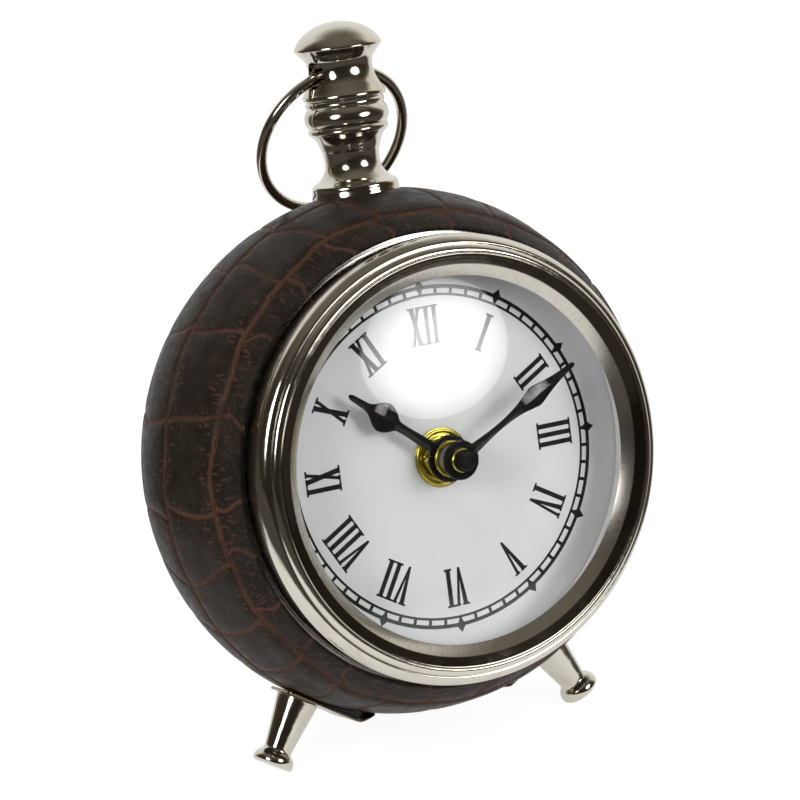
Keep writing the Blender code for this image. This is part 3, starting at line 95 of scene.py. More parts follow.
class Nodes:
    """Lays out shader nodes in a tree."""

    def __init__(self, tree: bpy.types.NodeTree) -> None:
        """Start on a tree.

        Args:
            tree: The tree of a material, a lamp or the world.
        """
        self.tree = tree

    def add(self, kind: str, **settings: object) -> Node:
        """Add a node and set its properties.

        Args:
            kind: Blender's name of the node type.
            settings: Properties to set on the node.

        Returns:
            The new node.
        """
        node = self.tree.nodes.new(kind)
        for key, value in settings.items():
            setattr(node, key, value)
        return node

    def feed(self, socket: Socket, value: Socket | float | Sequence[float]) -> None:
        """Link a socket to another, or write a plain value on it.

        Args:
            socket: The input.
            value: An output, a number, or a vector or colour.
        """
        if isinstance(value, bpy.types.NodeSocket):
            self.tree.links.new(value, socket)
        elif isinstance(value, (int, float)):
            socket.default_value = value
        else:
            wide = len(socket.default_value) == 4 and len(value) == 3
            socket.default_value = (*value, 1.0) if wide else tuple(value)

    def part(self, vector: Socket, axis: int) -> Socket:
        """One component of a vector.

        Args:
            vector: The vector.
            axis: 0, 1 or 2.

        Returns:
            The component.
        """
        node = self.add("ShaderNodeSeparateXYZ")
        self.feed(node.inputs[0], vector)
        return node.outputs[axis]

    def vector(self, operation: str, a: Socket, b: Sequence[float] = (0.0, 0.0, 0.0)) -> Node:
        """A sum on one or two vectors, with its Vector and Value outputs.

        Args:
            operation: Blender's name of the sum.
            a: First vector.
            b: Second vector.

        Returns:
            The node.
        """
        node = self.add("ShaderNodeVectorMath", operation=operation)
        self.feed(node.inputs[0], a)
        self.feed(node.inputs[1], b)
        return node

    def stretch(self, vector: Socket, scale: Sequence[float]) -> Socket:
        """A vector scaled along its three axes."""
        return self.vector("MULTIPLY", vector, scale).outputs[0]

    def calc(self, operation: str, a: Socket | float, b: Socket | float = 0.0) -> Socket:
        """The result of a sum on one or two numbers.

        Args:
            operation: Blender's name of the sum.
            a: First number.
            b: Second number.

        Returns:
            The result socket.
        """
        node = self.add("ShaderNodeMath", operation=operation)
        self.feed(node.inputs[0], a)
        self.feed(node.inputs[1], b)
        return node.outputs[0]

    def plus(self, a: Socket | float, b: Socket | float) -> Socket:
        """Two numbers added."""
        return self.calc("ADD", a, b)

    def minus(self, a: Socket | float, b: Socket | float) -> Socket:
        """The second number taken from the first."""
        return self.calc("SUBTRACT", a, b)

    def times(self, a: Socket | float, b: Socket | float) -> Socket:
        """Two numbers multiplied."""
        return self.calc("MULTIPLY", a, b)

    def larger(self, a: Socket | float, b: Socket | float) -> Socket:
        """The larger of two numbers."""
        return self.calc("MAXIMUM", a, b)

    def noise(self, vector: Socket, scale: float, detail: float = 3.0, rough: float = 0.5) -> Socket:
        """Cloudy noise from 0 to 1.

        Args:
            vector: Where to read the noise.
            scale: Features per unit of the vector.
            detail: Number of finer octaves.
            rough: Weight of the finer octaves.

        Returns:
            The noise socket.
        """
        node = self.add("ShaderNodeTexNoise")
        self.feed(node.inputs["Vector"], vector)
        self.feed(node.inputs["Scale"], scale)
        self.feed(node.inputs["Detail"], detail)
        self.feed(node.inputs["Roughness"], rough)
        return node.outputs[0]

    def cells(self, vector: Socket, scale: float, feature: str = "F1") -> Socket:
        """Distance to the nearest cell centre or cell wall.

        Args:
            vector: Where to read the cells.
            scale: Cells per unit of the vector.
            feature: Blender's name of the distance.

        Returns:
            The distance socket.
        """
        node = self.add("ShaderNodeTexVoronoi", feature=feature)
        self.feed(node.inputs["Vector"], vector)
        self.feed(node.inputs["Scale"], scale)
        return node.outputs["Distance"]

    def span(self, value: Socket, low: float, high: float, to_low: float = 0.0,
             to_high: float = 1.0) -> Socket:
        """A number carried smoothly from one range to another and held at its ends.

        Args:
            value: The number.
            low: Where the range starts.
            high: Where the range ends.
            to_low: Result at and below the start.
            to_high: Result at and above the end.

        Returns:
            The result socket.
        """
        node = self.add("ShaderNodeMapRange", interpolation_type="SMOOTHSTEP")
        for index, item in enumerate((value, low, high, to_low, to_high)):
            self.feed(node.inputs[index], item)
        return node.outputs[0]

    def blend(self, share: Socket | float, a: Socket | Colour, b: Socket | Colour) -> Socket:
        """Colour a turned into colour b by a share.

        Args:
            share: From 0 to 1.
            a: First colour.
            b: Second colour.

        Returns:
            The colour socket.
        """
        node = self.add("ShaderNodeMix", data_type="RGBA")
        self.feed(node.inputs[0], share)
        self.feed(node.inputs[6], a)
        self.feed(node.inputs[7], b)
        return node.outputs[2]

    def either(self, share: Socket, a: Socket, b: Socket) -> Socket:
        """Shader a turned into shader b by a share.

        Args:
            share: From 0 to 1.
            a: First shader.
            b: Second shader.

        Returns:
            The shader socket.
        """
        node = self.add("ShaderNodeMixShader")
        for index, item in enumerate((share, a, b)):
            self.feed(node.inputs[index], item)
        return node.outputs[0]

    def relief(self, height: Socket, depth_mm: float, strength: float = 1.0,
               over: Socket | None = None) -> Socket:
        """Bumps from a height between 0 and 1.

        Args:
            height: The height.
            depth_mm: Real depth of a height of 1.
            strength: Share of the effect.
            over: Bumps that these lie on.

        Returns:
            The bumped normal.
        """
        node = self.add("ShaderNodeBump")
        self.feed(node.inputs["Height"], height)
        self.feed(node.inputs["Distance"], depth_mm * MM)
        self.feed(node.inputs["Strength"], strength)
        if over is not None:
            self.feed(node.inputs["Normal"], over)
        return node.outputs[0]


class Bench(Nodes):
    """Lays out the shader nodes of one finish."""

    def __init__(self, name: str) -> None:
        """Start an empty material around one Principled shader.

        Args:
            name: Name of the material.
        """
        self.material = bpy.data.materials.new(name)
        self.material.use_nodes = True
        super().__init__(self.material.node_tree)
        self.tree.nodes.clear()
        self.out = self.add("ShaderNodeOutputMaterial")
        self.shader = self.add("ShaderNodeBsdfPrincipled")
        self.feed(self.out.inputs["Surface"], self.shader.outputs[0])

    def set(self, **values: Socket | float | Sequence[float]) -> None:
        """Set inputs of the Principled shader, named with underscores for spaces."""
        for key, value in values.items():
            self.feed(self.shader.inputs[key.replace("_", " ")], value)

    def place(self) -> Socket:
        """Position on the piece, in metres."""
        return self.add("ShaderNodeTexCoord").outputs["Object"]

    def stored(self, name: str) -> Socket:
        """A vector kept on the mesh under a name."""
        return self.add("ShaderNodeAttribute", attribute_name=name).outputs["Vector"]


# ------------------------------------------------------------------ finishes


@dataclass(frozen=True)
class Nickel:
    """Polished nickel plate with buffing hairlines, faint waviness and warm stains."""

    name: str = "polished_nickel"
    tint: Colour = (0.67, 0.635, 0.555)
    stain: Colour = (0.45, 0.375, 0.26)
    roughness: float = 0.09
    wave_mm: float = 0.012
    stained: float = 0.35

    def make(self) -> bpy.types.Material:
        """Lay out the finish.

        Returns:
            The finished material.
        """
        bench = Bench(self.name)
        place = bench.place()
        clouds = bench.noise(place, 130.0, 4.0, 0.6)
        spots = bench.noise(place, 620.0, 3.0, 0.6)
        share = bench.span(clouds, 0.5, 0.72, 0.0, self.stained)
        colour = bench.blend(share, self.tint, self.stain)
        pits = bench.span(spots, 0.66, 0.74, 0.0, 0.45)
        hair = bench.noise(bench.stretch(bench.stored("spin"), (9.0, 1.4, 1.4)), 1.0, 4.0, 0.7)
        rough = bench.span(clouds, 0.3, 0.75, self.roughness * 0.7, self.roughness * 1.6)
        scuffed = bench.plus(rough, bench.times(pits, 0.16))
        wavy = bench.relief(bench.noise(place, 210.0, 2.0), self.wave_mm * 6.0)
        lined = bench.relief(hair, 0.006, 0.5, wavy)
        bench.set(Base_Color=bench.blend(pits, colour, self.stain), Metallic=1.0, Roughness=scuffed,
                  Normal=lined)
        return bench.material


@dataclass(frozen=True)
class SpunNickel:
    """The bezel's inner bevel: nickel left as it was turned, with fine cross marks and a yellowish cast."""

    name: str = "spun_nickel"
    tint: Colour = (0.62, 0.585, 0.52)
    dark: Colour = (0.36, 0.31, 0.24)

    def make(self) -> bpy.types.Material:
        """Lay out the finish.

        Returns:
            The finished material.
        """
        bench = Bench(self.name)
        spin = bench.stored("spin")
        marks = bench.noise(bench.stretch(spin, (0.5, 150.0, 150.0)), 1.0, 3.0, 0.6)
        grain = bench.noise(bench.place(), 3600.0, 3.0, 0.7)
        colour = bench.blend(bench.span(marks, 0.48, 0.75, 0.0, 0.55), self.tint, self.dark)
        rough = bench.span(grain, 0.3, 0.7, 0.13, 0.24)
        normal = bench.relief(grain, 0.016, 0.6, bench.relief(marks, 0.02, 0.5))
        bench.set(Base_Color=colour, Metallic=1.0, Roughness=rough, Normal=normal)
        return bench.material


@dataclass(frozen=True)
class Hide:
    """Dark brown hide embossed with scales: rubbed reddish creases, short side cracks and fine grain."""

    name: str = "embossed_hide"
    body: Colour = (0.0155, 0.0110, 0.0078)
    worn: Colour = (0.029, 0.0210, 0.0150)
    crease: Colour = (0.078, 0.0335, 0.0205)
    # Colour of the painted shade down the middle of the row creases.
    crease_shade: Colour = (0.020, 0.0095, 0.006)
    # Colour of painted glints: grey specks near the bezel lip that stand in for highlights.
    painted_glint: Colour = (0.055, 0.050, 0.045)

    def make(self) -> bpy.types.Material:
        """Lay out the finish.

        Returns:
            The finished material.
        """
        bench = Bench(self.name)
        place = bench.place()
        crease = bench.stored("crease")
        hide = bench.stored("hide")
        row, cross, lip = (bench.part(crease, axis) for axis in range(3))
        ragged = bench.noise(place, 620.0, 5.0, 0.68)
        jitter = bench.times(bench.minus(ragged, 0.5), 1.25)
        row_edge = bench.plus(row, jitter)
        cross_edge = bench.plus(cross, bench.times(jitter, 0.8))
        patchy = bench.span(bench.noise(place, 95.0, 2.0), 0.3, 0.62, 0.45, 1.0)
        row_line = bench.span(row_edge, 0.26, 0.86, 1.0, 0.0)
        cross_line = bench.span(cross_edge, 0.34, 0.66, 1.0, 0.0)
        # Painted shade: a darker core along the middle of each row crease.
        core = bench.times(bench.span(row_edge, 0.02, 0.20, 1.0, 0.0), 0.75)
        warp = bench.times(bench.minus(bench.noise(place, 330.0, 4.0, 0.6), 0.5), 3.2)
        side = bench.part(hide, 2)
        crack = bench.larger(self.cracks(bench, bench.part(hide, 0), warp, row, side, 3.4, 0.0),
                           self.cracks(bench, bench.part(hide, 1), warp, cross, side, 1.9, 53.0))
        rubbed = bench.larger(row_line, cross_line)
        red = bench.larger(bench.times(rubbed, patchy), bench.times(crack, 0.7))
        tone = bench.blend(bench.span(bench.noise(place, 170.0, 5.0, 0.65), 0.38, 0.75), self.body, self.worn)
        colour = bench.blend(red, tone, self.crease)
        colour = bench.blend(core, colour, self.crease_shade)
        # Painted glints near the bezel lip, as lighter grey specks.
        glint_specks = bench.span(bench.noise(place, 1150.0, 4.0, 0.7), 0.52, 0.66, 0.0, 0.45)
        colour = bench.blend(bench.times(glint_specks, bench.span(lip, 0.3, 0.8)), colour, self.painted_glint)
        pores = bench.cells(place, 1900.0)
        fine = bench.noise(place, 3300.0, 3.0, 0.6)
        folds = bench.noise(bench.stretch(hide, (0.9, 0.22, 1.0)), 1.0, 4.0, 0.6)
        grain = bench.relief(bench.plus(bench.times(pores, 0.6), fine), 0.045, 0.55)
        wrinkled = bench.relief(folds, 0.14, 0.55, grain)
        pucker = bench.relief(bench.times(bench.noise(place, 1000.0, 4.0, 0.7), lip), 0.7, 0.8, wrinkled)
        cut_in = bench.relief(bench.minus(1.0, crack), 0.10, 0.8, pucker)
        rough = bench.span(bench.noise(place, 420.0, 3.0, 0.6), 0.3, 0.7, 0.33, 0.47)
        rough = bench.plus(rough, bench.times(red, 0.18))
        bench.set(Base_Color=colour, Roughness=rough, Normal=cut_in)
        bench.shader.inputs["Specular IOR Level"].default_value = 0.10
        return bench.material

    def cracks(self, bench: Bench, along: Socket, warp: Socket, gap: Socket, side: Socket, longest: float,
               seed: float) -> Socket:
        """Short cracks that run away from a crease at uneven distances.

        Args:
            bench: Where the nodes are laid.
            along: Place along the crease, in millimetres.
            warp: Wander of the cracks, in millimetres.
            gap: Distance from the crease, in millimetres.
            side: Which side of the crease it is, -1 or 1.
            longest: Length of the longest crack, in millimetres.
            seed: Picks another set of cracks.

        Returns:
            1 on a crack and 0 off it.
        """
        pitch = 0.85
        run = bench.times(bench.plus(along, warp), pitch)
        cell = bench.calc("FLOOR", run)
        off = bench.calc("DIVIDE", bench.calc("ABSOLUTE", bench.minus(bench.calc("FRACT", run), 0.5)), pitch)
        pick = bench.add("ShaderNodeTexWhiteNoise", noise_dimensions="1D")
        bench.feed(pick.inputs["W"], bench.plus(bench.times(side, 17.3), bench.plus(cell, seed)))
        chance = pick.outputs["Value"]
        start = bench.times(bench.calc("FRACT", bench.times(chance, 31.7)), 0.9 * longest)
        length = bench.span(bench.calc("FRACT", bench.times(chance, 7.13)), 0.1, 1.0, 0.3, 0.85 * longest)
        into = bench.minus(gap, start)
        left = bench.minus(length, into)
        taper = bench.times(bench.span(into, 0.0, 0.35), bench.span(left, 0.0, 1.3, 0.0, 0.26))
        line = bench.span(bench.minus(off, taper), -0.08, 0.08, 1.0, 0.0)
        return bench.times(line, bench.span(taper, 0.01, 0.06))


@dataclass(frozen=True)
class DomedGlass:
    """Clear glass that lets the lamps through to the dial."""

    name: str = "domed_glass"
    tint: Colour = (0.985, 0.992, 0.99)

    def make(self) -> bpy.types.Material:
        """Lay out the finish.

        Returns:
            The finished material.
        """
        bench = Bench(self.name)
        place = bench.place()
        dust = bench.span(bench.noise(place, 800.0, 2.0), 0.72, 0.80, 0.0, 0.02)
        bench.set(Base_Color=self.tint, Roughness=dust)
        bench.shader.inputs["IOR"].default_value = 1.47
        bench.shader.inputs["Transmission Weight"].default_value = 1.0
        shadow = bench.add("ShaderNodeLightPath").outputs["Is Shadow Ray"]
        clear = bench.add("ShaderNodeBsdfTransparent")
        surface = bench.either(shadow, bench.shader.outputs[0], clear.outputs[0])
        bench.feed(bench.out.inputs["Surface"], surface)
        return bench.material


@dataclass(frozen=True)
class Coat:
    """A painted, printed or moulded surface: one colour with a little mottle, grain and uneven gloss."""

    name: str
    colour: Colour
    mottle: Colour
    rough: tuple[float, float]
    grain_mm: float = 0.01
    grain_scale: float = 2600.0
    patch_scale: float = 160.0
    clear: float = 0.0
    gleam: float = 0.5

    def make(self) -> bpy.types.Material:
        """Lay out the finish.

        Returns:
            The finished material.
        """
        bench = Bench(self.name)
        place = bench.place()
        patches = bench.noise(place, self.patch_scale, 4.0, 0.6)
        grain = bench.noise(place, self.grain_scale, 3.0, 0.6)
        colour = bench.blend(bench.span(patches, 0.35, 0.72), self.colour, self.mottle)
        rough = bench.span(bench.noise(place, self.patch_scale * 3.0, 3.0), 0.3, 0.7, *self.rough)
        bench.set(Base_Color=colour, Roughness=rough, Normal=bench.relief(grain, self.grain_mm, 0.6))
        bench.shader.inputs["Specular IOR Level"].default_value = self.gleam
        if self.clear:
            bench.shader.inputs["Coat Weight"].default_value = self.clear
            bench.shader.inputs["Coat Roughness"].default_value = 0.06
        return bench.material


@dataclass(frozen=True)
class Bare:
    """A bare metal: tarnish in patches, machining lines along the turning and a scatter of scratches."""

    name: str
    colour: Colour
    tarnish: Colour
    rough: tuple[float, float]
    line_mm: float = 0.02
    lines_per_mm: float = 6.0

    def make(self) -> bpy.types.Material:
        """Lay out the finish.

        Returns:
            The finished material.
        """
        bench = Bench(self.name)
        place = bench.place()
        spin = bench.stored("spin")
        patches = bench.noise(place, 240.0, 4.0, 0.65)
        lines = bench.noise(bench.stretch(spin, (self.lines_per_mm, 0.8, 0.8)), 1.0, 3.0, 0.6)
        scratches = bench.noise(bench.stretch(place, (900.0, 2600.0, 700.0)), 1.0, 3.0, 0.7)
        colour = bench.blend(bench.span(patches, 0.4, 0.75, 0.0, 0.8), self.colour, self.tarnish)
        rough = bench.span(patches, 0.3, 0.75, *self.rough)
        normal = bench.relief(scratches, 0.02, 0.4, bench.relief(lines, self.line_mm, 0.8))
        bench.set(Base_Color=colour, Metallic=1.0, Roughness=rough, Normal=normal)
        return bench.material


@dataclass(frozen=True)
class Winding:
    """Enamelled copper wire wound on a core, drawn across the coil's run, with painted shade between the
    turns.
    """

    name: str = "wound_copper"
    colour: Colour = (0.58, 0.23, 0.09)
    # Darker colour between the turns: painted shade.
    gap: Colour = (0.16, 0.05, 0.02)

    def make(self) -> bpy.types.Material:
        """Lay out the finish.

        Returns:
            The finished material.
        """
        bench = Bench(self.name)
        wave = bench.add("ShaderNodeTexWave", wave_type="BANDS", bands_direction="Z")
        bench.feed(wave.inputs["Vector"], bench.place())
        bench.feed(wave.inputs["Scale"], 1500.0)
        bench.feed(wave.inputs["Distortion"], 0.6)
        turns = wave.outputs["Fac"]
        colour = bench.blend(bench.span(turns, 0.1, 0.6), self.gap, self.colour)
        bench.set(Base_Color=colour, Metallic=0.8, Roughness=bench.span(turns, 0.0, 1.0, 0.5, 0.28),
                  Normal=bench.relief(turns, 0.08))
        return bench.material


@dataclass(frozen=True)
class Board:
    """Green solder mask over copper tracks."""

    name: str = "solder_mask"
    mask: Colour = (0.018, 0.12, 0.05)
    track: Colour = (0.05, 0.26, 0.10)

    def make(self) -> bpy.types.Material:
        """Lay out the finish.

        Returns:
            The finished material.
        """
        bench = Bench(self.name)
        place = bench.place()
        lines = bench.cells(bench.stretch(place, (420.0, 420.0, 420.0)), 1.0, "DISTANCE_TO_EDGE")
        tracks = bench.span(lines, 0.05, 0.09, 1.0, 0.0)
        bench.set(Base_Color=bench.blend(tracks, self.mask, self.track),
                  Roughness=bench.span(tracks, 0, 1, 0.38, 0.26), Normal=bench.relief(tracks, 0.04))
        return bench.material


@dataclass(frozen=True)
class CellSleeve:
    """The battery's printed sleeve: dark, with a copper-coloured band near its plus end and bare ends."""

    name: str = "cell_sleeve"
    dark: Colour = (0.018, 0.018, 0.021)
    band: Colour = (0.50, 0.27, 0.10)
    metal: Colour = (0.62, 0.62, 0.61)
    half_mm: float = 24.2
    band_mm: float = 14.0

    def make(self) -> bpy.types.Material:
        """Lay out the finish.

        Returns:
            The finished material.
        """
        bench = Bench(self.name)
        place = bench.place()
        along = bench.times(bench.part(place, 0), 1000.0)
        banded = bench.span(along, self.band_mm - 0.1, self.band_mm + 0.1)
        bare = bench.span(bench.calc("ABSOLUTE", along), self.half_mm - 0.1, self.half_mm + 0.1)
        colour = bench.blend(bare, bench.blend(banded, self.dark, self.band), self.metal)
        shrunk = bench.noise(bench.stretch(place, (300.0, 1200.0, 1200.0)), 1.0, 3.0)
        bench.set(Base_Color=colour, Metallic=bench.larger(bare, bench.times(banded, 0.8)),
                  Roughness=bench.span(shrunk, 0.3, 0.7, 0.24, 0.38), Normal=bench.relief(shrunk, 0.03, 0.5))
        return bench.material


@dataclass(frozen=True)
class CapLacquer:
    """Black lacquer over a turned cap, with the turning's rings showing through."""

    name: str = "cap_lacquer"
    colour: Colour = (0.0045, 0.0045, 0.005)

    def make(self) -> bpy.types.Material:
        """Lay out the finish.

        Returns:
            The finished material.
        """
        bench = Bench(self.name)
        rings = bench.noise(bench.stretch(bench.stored("spin"), (3.4, 0.25, 0.25)), 1.0, 2.0, 0.6)
        colour = bench.blend(bench.span(rings, 0.4, 0.7), self.colour, (0.009, 0.009, 0.0095))
        bench.set(Base_Color=colour, Roughness=bench.span(rings, 0.3, 0.7, 0.24, 0.36),
                  Normal=bench.relief(rings, 0.03))
        bench.shader.inputs["Specular IOR Level"].default_value = 0.12
        return bench.material


class Finishes:
    """Makes each finish once and hands it out."""

    def __init__(self) -> None:
        """Start with nothing made."""
        self.made: dict[str, bpy.types.Material] = {}

    def get(self, finish: object) -> bpy.types.Material:
        """The material of a finish, made on first use.

        Args:
            finish: The finish.

        Returns:
            Its material.
        """
        if finish.name not in self.made:
            self.made[finish.name] = finish.make()
        return self.made[finish.name]


NICKEL = Nickel()
SPUN_NICKEL = SpunNickel()
# Nickel darkened for the bezel's land: painted dark reflection, all round the ring.
DARKENED_LAND_NICKEL = Nickel("land_nickel_painted_dark", (0.25, 0.225, 0.185), (0.14, 0.11, 0.075), 0.10)
AGED_NICKEL = Nickel("aged_nickel", (0.36, 0.315, 0.215), (0.22, 0.17, 0.10), 0.17)
HIDE = Hide()
GLASS = DomedGlass()
DIAL_WHITE = Coat("dial_paint", (0.74, 0.745, 0.755), (0.70, 0.705, 0.715), (0.42, 0.55), 0.012, 2600.0, 60.0)
SPACER_WHITE = Coat("spacer_plastic", (0.66, 0.66, 0.645), (0.60, 0.60, 0.585), (0.35, 0.5))
INK = Coat("dial_ink", (0.011, 0.011, 0.012), (0.018, 0.018, 0.019), (0.5, 0.65), 0.006, 4200.0, 700.0,
           gleam=0.08)
LACQUER = Coat("hand_lacquer", (0.0045, 0.0045, 0.005), (0.008, 0.0075, 0.007), (0.06, 0.11), 0.002, 3000.0,
               300.0)
CAP = CapLacquer()
BRASS = Bare("turned_brass", (0.68, 0.58, 0.12), (0.44, 0.37, 0.08), (0.16, 0.30), 0.02, 4.0)
PIPE_STEEL = Bare("pipe_steel", (0.40, 0.38, 0.31), (0.24, 0.22, 0.17), (0.24, 0.38))
SPUN_STEEL = Bare("spun_steel_sheet", (0.50, 0.49, 0.47), (0.455, 0.442, 0.42), (0.24, 0.31), 0.03, 5.0)
SCREW_STEEL = Bare("screw_steel", (0.55, 0.54, 0.52), (0.36, 0.35, 0.33), (0.25, 0.42))
CONTACT_STEEL = Bare("contact_steel", (0.66, 0.65, 0.63), (0.50, 0.49, 0.46), (0.16, 0.32))
MOVEMENT_BLACK = Coat("movement_plastic", (0.017, 0.017, 0.018), (0.026, 0.026, 0.027), (0.38, 0.55),
                      0.05, 1500.0)
GEAR_WHITE = Coat("gear_plastic", (0.72, 0.71, 0.66), (0.64, 0.63, 0.58), (0.32, 0.45), 0.02, 2200.0)
PIPE_PLASTIC = Coat("pipe_plastic", (0.30, 0.29, 0.23), (0.20, 0.19, 0.14), (0.3, 0.45), 0.02, 2200.0)
RUBBER = Coat("gasket_rubber", (0.018, 0.018, 0.018), (0.03, 0.03, 0.029), (0.7, 0.85), 0.05, 1300.0)
WINDING = Winding()
BOARD = Board()
CELL = CellSleeve()


# ------------------------------------------------------------------ meshes


def sampled(stops: Sequence[Stop], step: float = 0.3, bend: int = 5) -> np.ndarray:
    """Points along a profile that flows through soft stops and turns at corners.

    Args:
        stops: (r, z) for a soft stop, or (r, z, rounding radius) for a corner.
        step: Largest distance between points on a curve, in millimetres.
        bend: Points that round a corner.

    Returns:
        An (n, 2) array of r and z.
    """
    points = [np.array(stop[:2], dtype=float) for stop in stops]
    corners = [0] + [i for i in range(1, len(stops) - 1) if len(stops[i]) == 3] + [len(stops) - 1]
    runs: list[np.ndarray] = []
    for start, end in zip(corners[:-1], corners[1:]):
        knots = points[start:end + 1]
        if len(knots) == 2:
            runs.append(np.array(knots))
            continue
        padded = [2 * knots[0] - knots[1], *knots, 2 * knots[-1] - knots[-2]]
        run = [knots[0]]
        for i in range(1, len(padded) - 2):
            p0, p1, p2, p3 = padded[i - 1:i + 3]
            gaps = [max(float(np.linalg.norm(b - a)), 1e-6) ** 0.5 for a, b in ((p0, p1), (p1, p2), (p2, p3))]
            m1 = (p1 - p0) / gaps[0] - (p2 - p0) / (gaps[0] + gaps[1]) + (p2 - p1) / gaps[1]
            m2 = (p2 - p1) / gaps[1] - (p3 - p1) / (gaps[1] + gaps[2]) + (p3 - p2) / gaps[2]
            m1, m2 = m1 * gaps[1], m2 * gaps[1]
            count = max(2, math.ceil(float(np.linalg.norm(p2 - p1)) / step))
            for t in np.linspace(0, 1, count + 1)[1:]:
                run.append((2 * t**3 - 3 * t**2 + 1) * p1 + (t**3 - 2 * t**2 + t) * m1
                           + (3 * t**2 - 2 * t**3) * p2 + (t**3 - t**2) * m2)
        runs.append(np.array(run))
    return rounded(runs, [float(stops[i][2]) for i in corners[1:-1]], bend)


def rounded(runs: list[np.ndarray], radii: Sequence[float], bend: int) -> np.ndarray:
    """Join runs of points and round the corners between them.

    Args:
        runs: Point runs, each starting where the last one ends.
        radii: How far each corner is cut back along both of its sides.
        bend: Points that round a corner.

    Returns:
        The joined points.
    """
    joined = [runs[0]]
    for radius, after in zip(radii, runs[1:]):
        corner = after[0]
        if radius > 0:
            before = cut_back(joined[-1][::-1], radius)[::-1]
            after = cut_back(after, radius)
            arc = [(1 - t) ** 2 * before[-1] + 2 * t * (1 - t) * corner + t**2 * after[0]
                   for t in np.linspace(0, 1, bend)[1:-1]]
            joined[-1] = before
            joined.append(np.array(arc))
        joined.append(after)
    points = np.concatenate(joined)
    apart = np.r_[True, np.linalg.norm(np.diff(points, axis=0), axis=1) > 1e-6]
    return points[apart]


def cut_back(run: np.ndarray, distance: float) -> np.ndarray:
    """Take a length off the start of a run of points.

    Args:
        run: The points.
        distance: Length to take off.

    Returns:
        The run from the place where the cut falls.
    """
    total = float(np.linalg.norm(np.diff(run, axis=0), axis=1).sum())
    left = min(distance, total * 0.45)
    index = 0
    while True:
        piece = float(np.linalg.norm(run[index + 1] - run[index]))
        if piece >= left:
            break
        left -= piece
        index += 1
    place = run[index] + (run[index + 1] - run[index]) * (left / piece)
    return np.vstack([place, run[index + 1:]])


def mesh_piece(name: str, points: np.ndarray, faces: Sequence[Sequence[int]], place: Matrix,
               sharp_deg: float = 34.0) -> bpy.types.Object:
    """A smooth-shaded object from points in millimetres.

    Args:
        name: Name of the piece.
        points: (n, 3) points.
        faces: Corners of each face.
        place: Frame that the points are in.
        sharp_deg: Edges that turn by more than this stay sharp.

    Returns:
        The new object, with its place in its mesh.
    """
    mesh = bpy.data.meshes.new(name)
    world = np.c_[points * MM, np.ones(len(points))] @ np.array(place).T
    mesh.from_pydata(world[:, :3].tolist(), [], [list(face) for face in faces])
    mesh.validate()
    mesh.polygons.foreach_set("use_smooth", [True] * len(mesh.polygons))
    mesh.set_sharp_from_angle(angle=math.radians(sharp_deg))
    piece = bpy.data.objects.new(name, mesh)
    bpy.context.scene.collection.objects.link(piece)
    return piece


def keep_vectors(piece: bpy.types.Object, name: str, vectors: np.ndarray) -> None:
    """Store a vector for each point of a piece under a name."""
    layer = piece.data.attributes.new(name, "FLOAT_VECTOR", "POINT")
    layer.data.foreach_set("vector", vectors.astype(np.float32).ravel())


def lathe(name: str, profile: np.ndarray, steps: int, place: Matrix, closed: bool = False,
          shape: Mover | None = None) -> bpy.types.Object:
    """Turn a profile about the z axis of a frame.

    Args:
        name: Name of the piece.
        profile: (n, 2) radii and heights, with the metal on the left of the way along it.
        steps: Number of columns round the axis.
        place: Frame whose z axis is the axis.
        closed: True if the profile's end joins its start, as on a ring.
        shape: Moves the (columns, rows, 3) points, given their angles.

    Returns:
        The new object, facing outward, which keeps (run along the profile, cosine, sine) as "spin".
    """
    rows = len(profile)
    angles = np.linspace(0, math.tau, steps, endpoint=False)
    r, z = profile[:, 0], profile[:, 1]
    grid = np.stack([np.outer(np.cos(angles), r), np.outer(np.sin(angles), r), np.tile(z, (steps, 1))],
                    axis=2)
    if shape is not None:
        grid = shape(grid, angles)
    run = np.r_[0, np.cumsum(np.linalg.norm(np.diff(profile, axis=0), axis=1))]
    spin = np.stack([np.tile(run, (steps, 1)), np.tile(np.cos(angles)[:, None], (1, rows)),
                     np.tile(np.sin(angles)[:, None], (1, rows))], axis=2)
    points, spins, index = [], [], np.zeros((steps, rows), dtype=int)
    for row in range(rows):
        if r[row] < 1e-6:
            index[:, row] = len(points)
            points.append(grid[0, row])
            spins.append(spin[0, row])
        else:
            index[:, row] = np.arange(len(points), len(points) + steps)
            points.extend(grid[:, row])
            spins.extend(spin[:, row])
    faces = []
    pairs = [(row, row + 1) for row in range(rows - 1)] + ([(rows - 1, 0)] if closed else [])
    for low, high in pairs:
        for column in range(steps):
            beside = (column + 1) % steps
            face = [index[column, low], index[column, high], index[beside, high], index[beside, low]]
            unique = list(dict.fromkeys(int(corner) for corner in face))
            if len(unique) > 2:
                faces.append(unique)
    piece = mesh_piece(name, np.array(points), faces, place)
    keep_vectors(piece, "spin", np.array(spins))
    return faces_outward(piece)


def faces_outward(piece: bpy.types.Object) -> bpy.types.Object:
    """Turn every face of a closed piece to look outward.

    Args:
        piece: The piece.

    Returns:
        The piece.
    """
    shaped = bmesh.new()
    shaped.from_mesh(piece.data)
    bmesh.ops.recalc_face_normals(shaped, faces=shaped.faces)
    shaped.to_mesh(piece.data)
    shaped.free()
    return piece


def bored(piece: bpy.types.Object, cutter: bpy.types.Object) -> bpy.types.Object:
    """Cut a tool out of a piece and drop the tool.

    Args:
        piece: The piece to cut.
        cutter: The tool.

    Returns:
        The piece, with its new mesh.
    """
    modifier = piece.modifiers.new("bore", "BOOLEAN")
    modifier.operation = "DIFFERENCE"
    modifier.solver = "EXACT"
    modifier.object = cutter
    bpy.context.view_layer.update()
    done = bpy.data.meshes.new_from_object(piece.evaluated_get(bpy.context.evaluated_depsgraph_get()))
    piece.modifiers.clear()
    piece.data = done
    done.set_sharp_from_angle(angle=math.radians(34.0))
    bpy.data.objects.remove(cutter)
    return piece


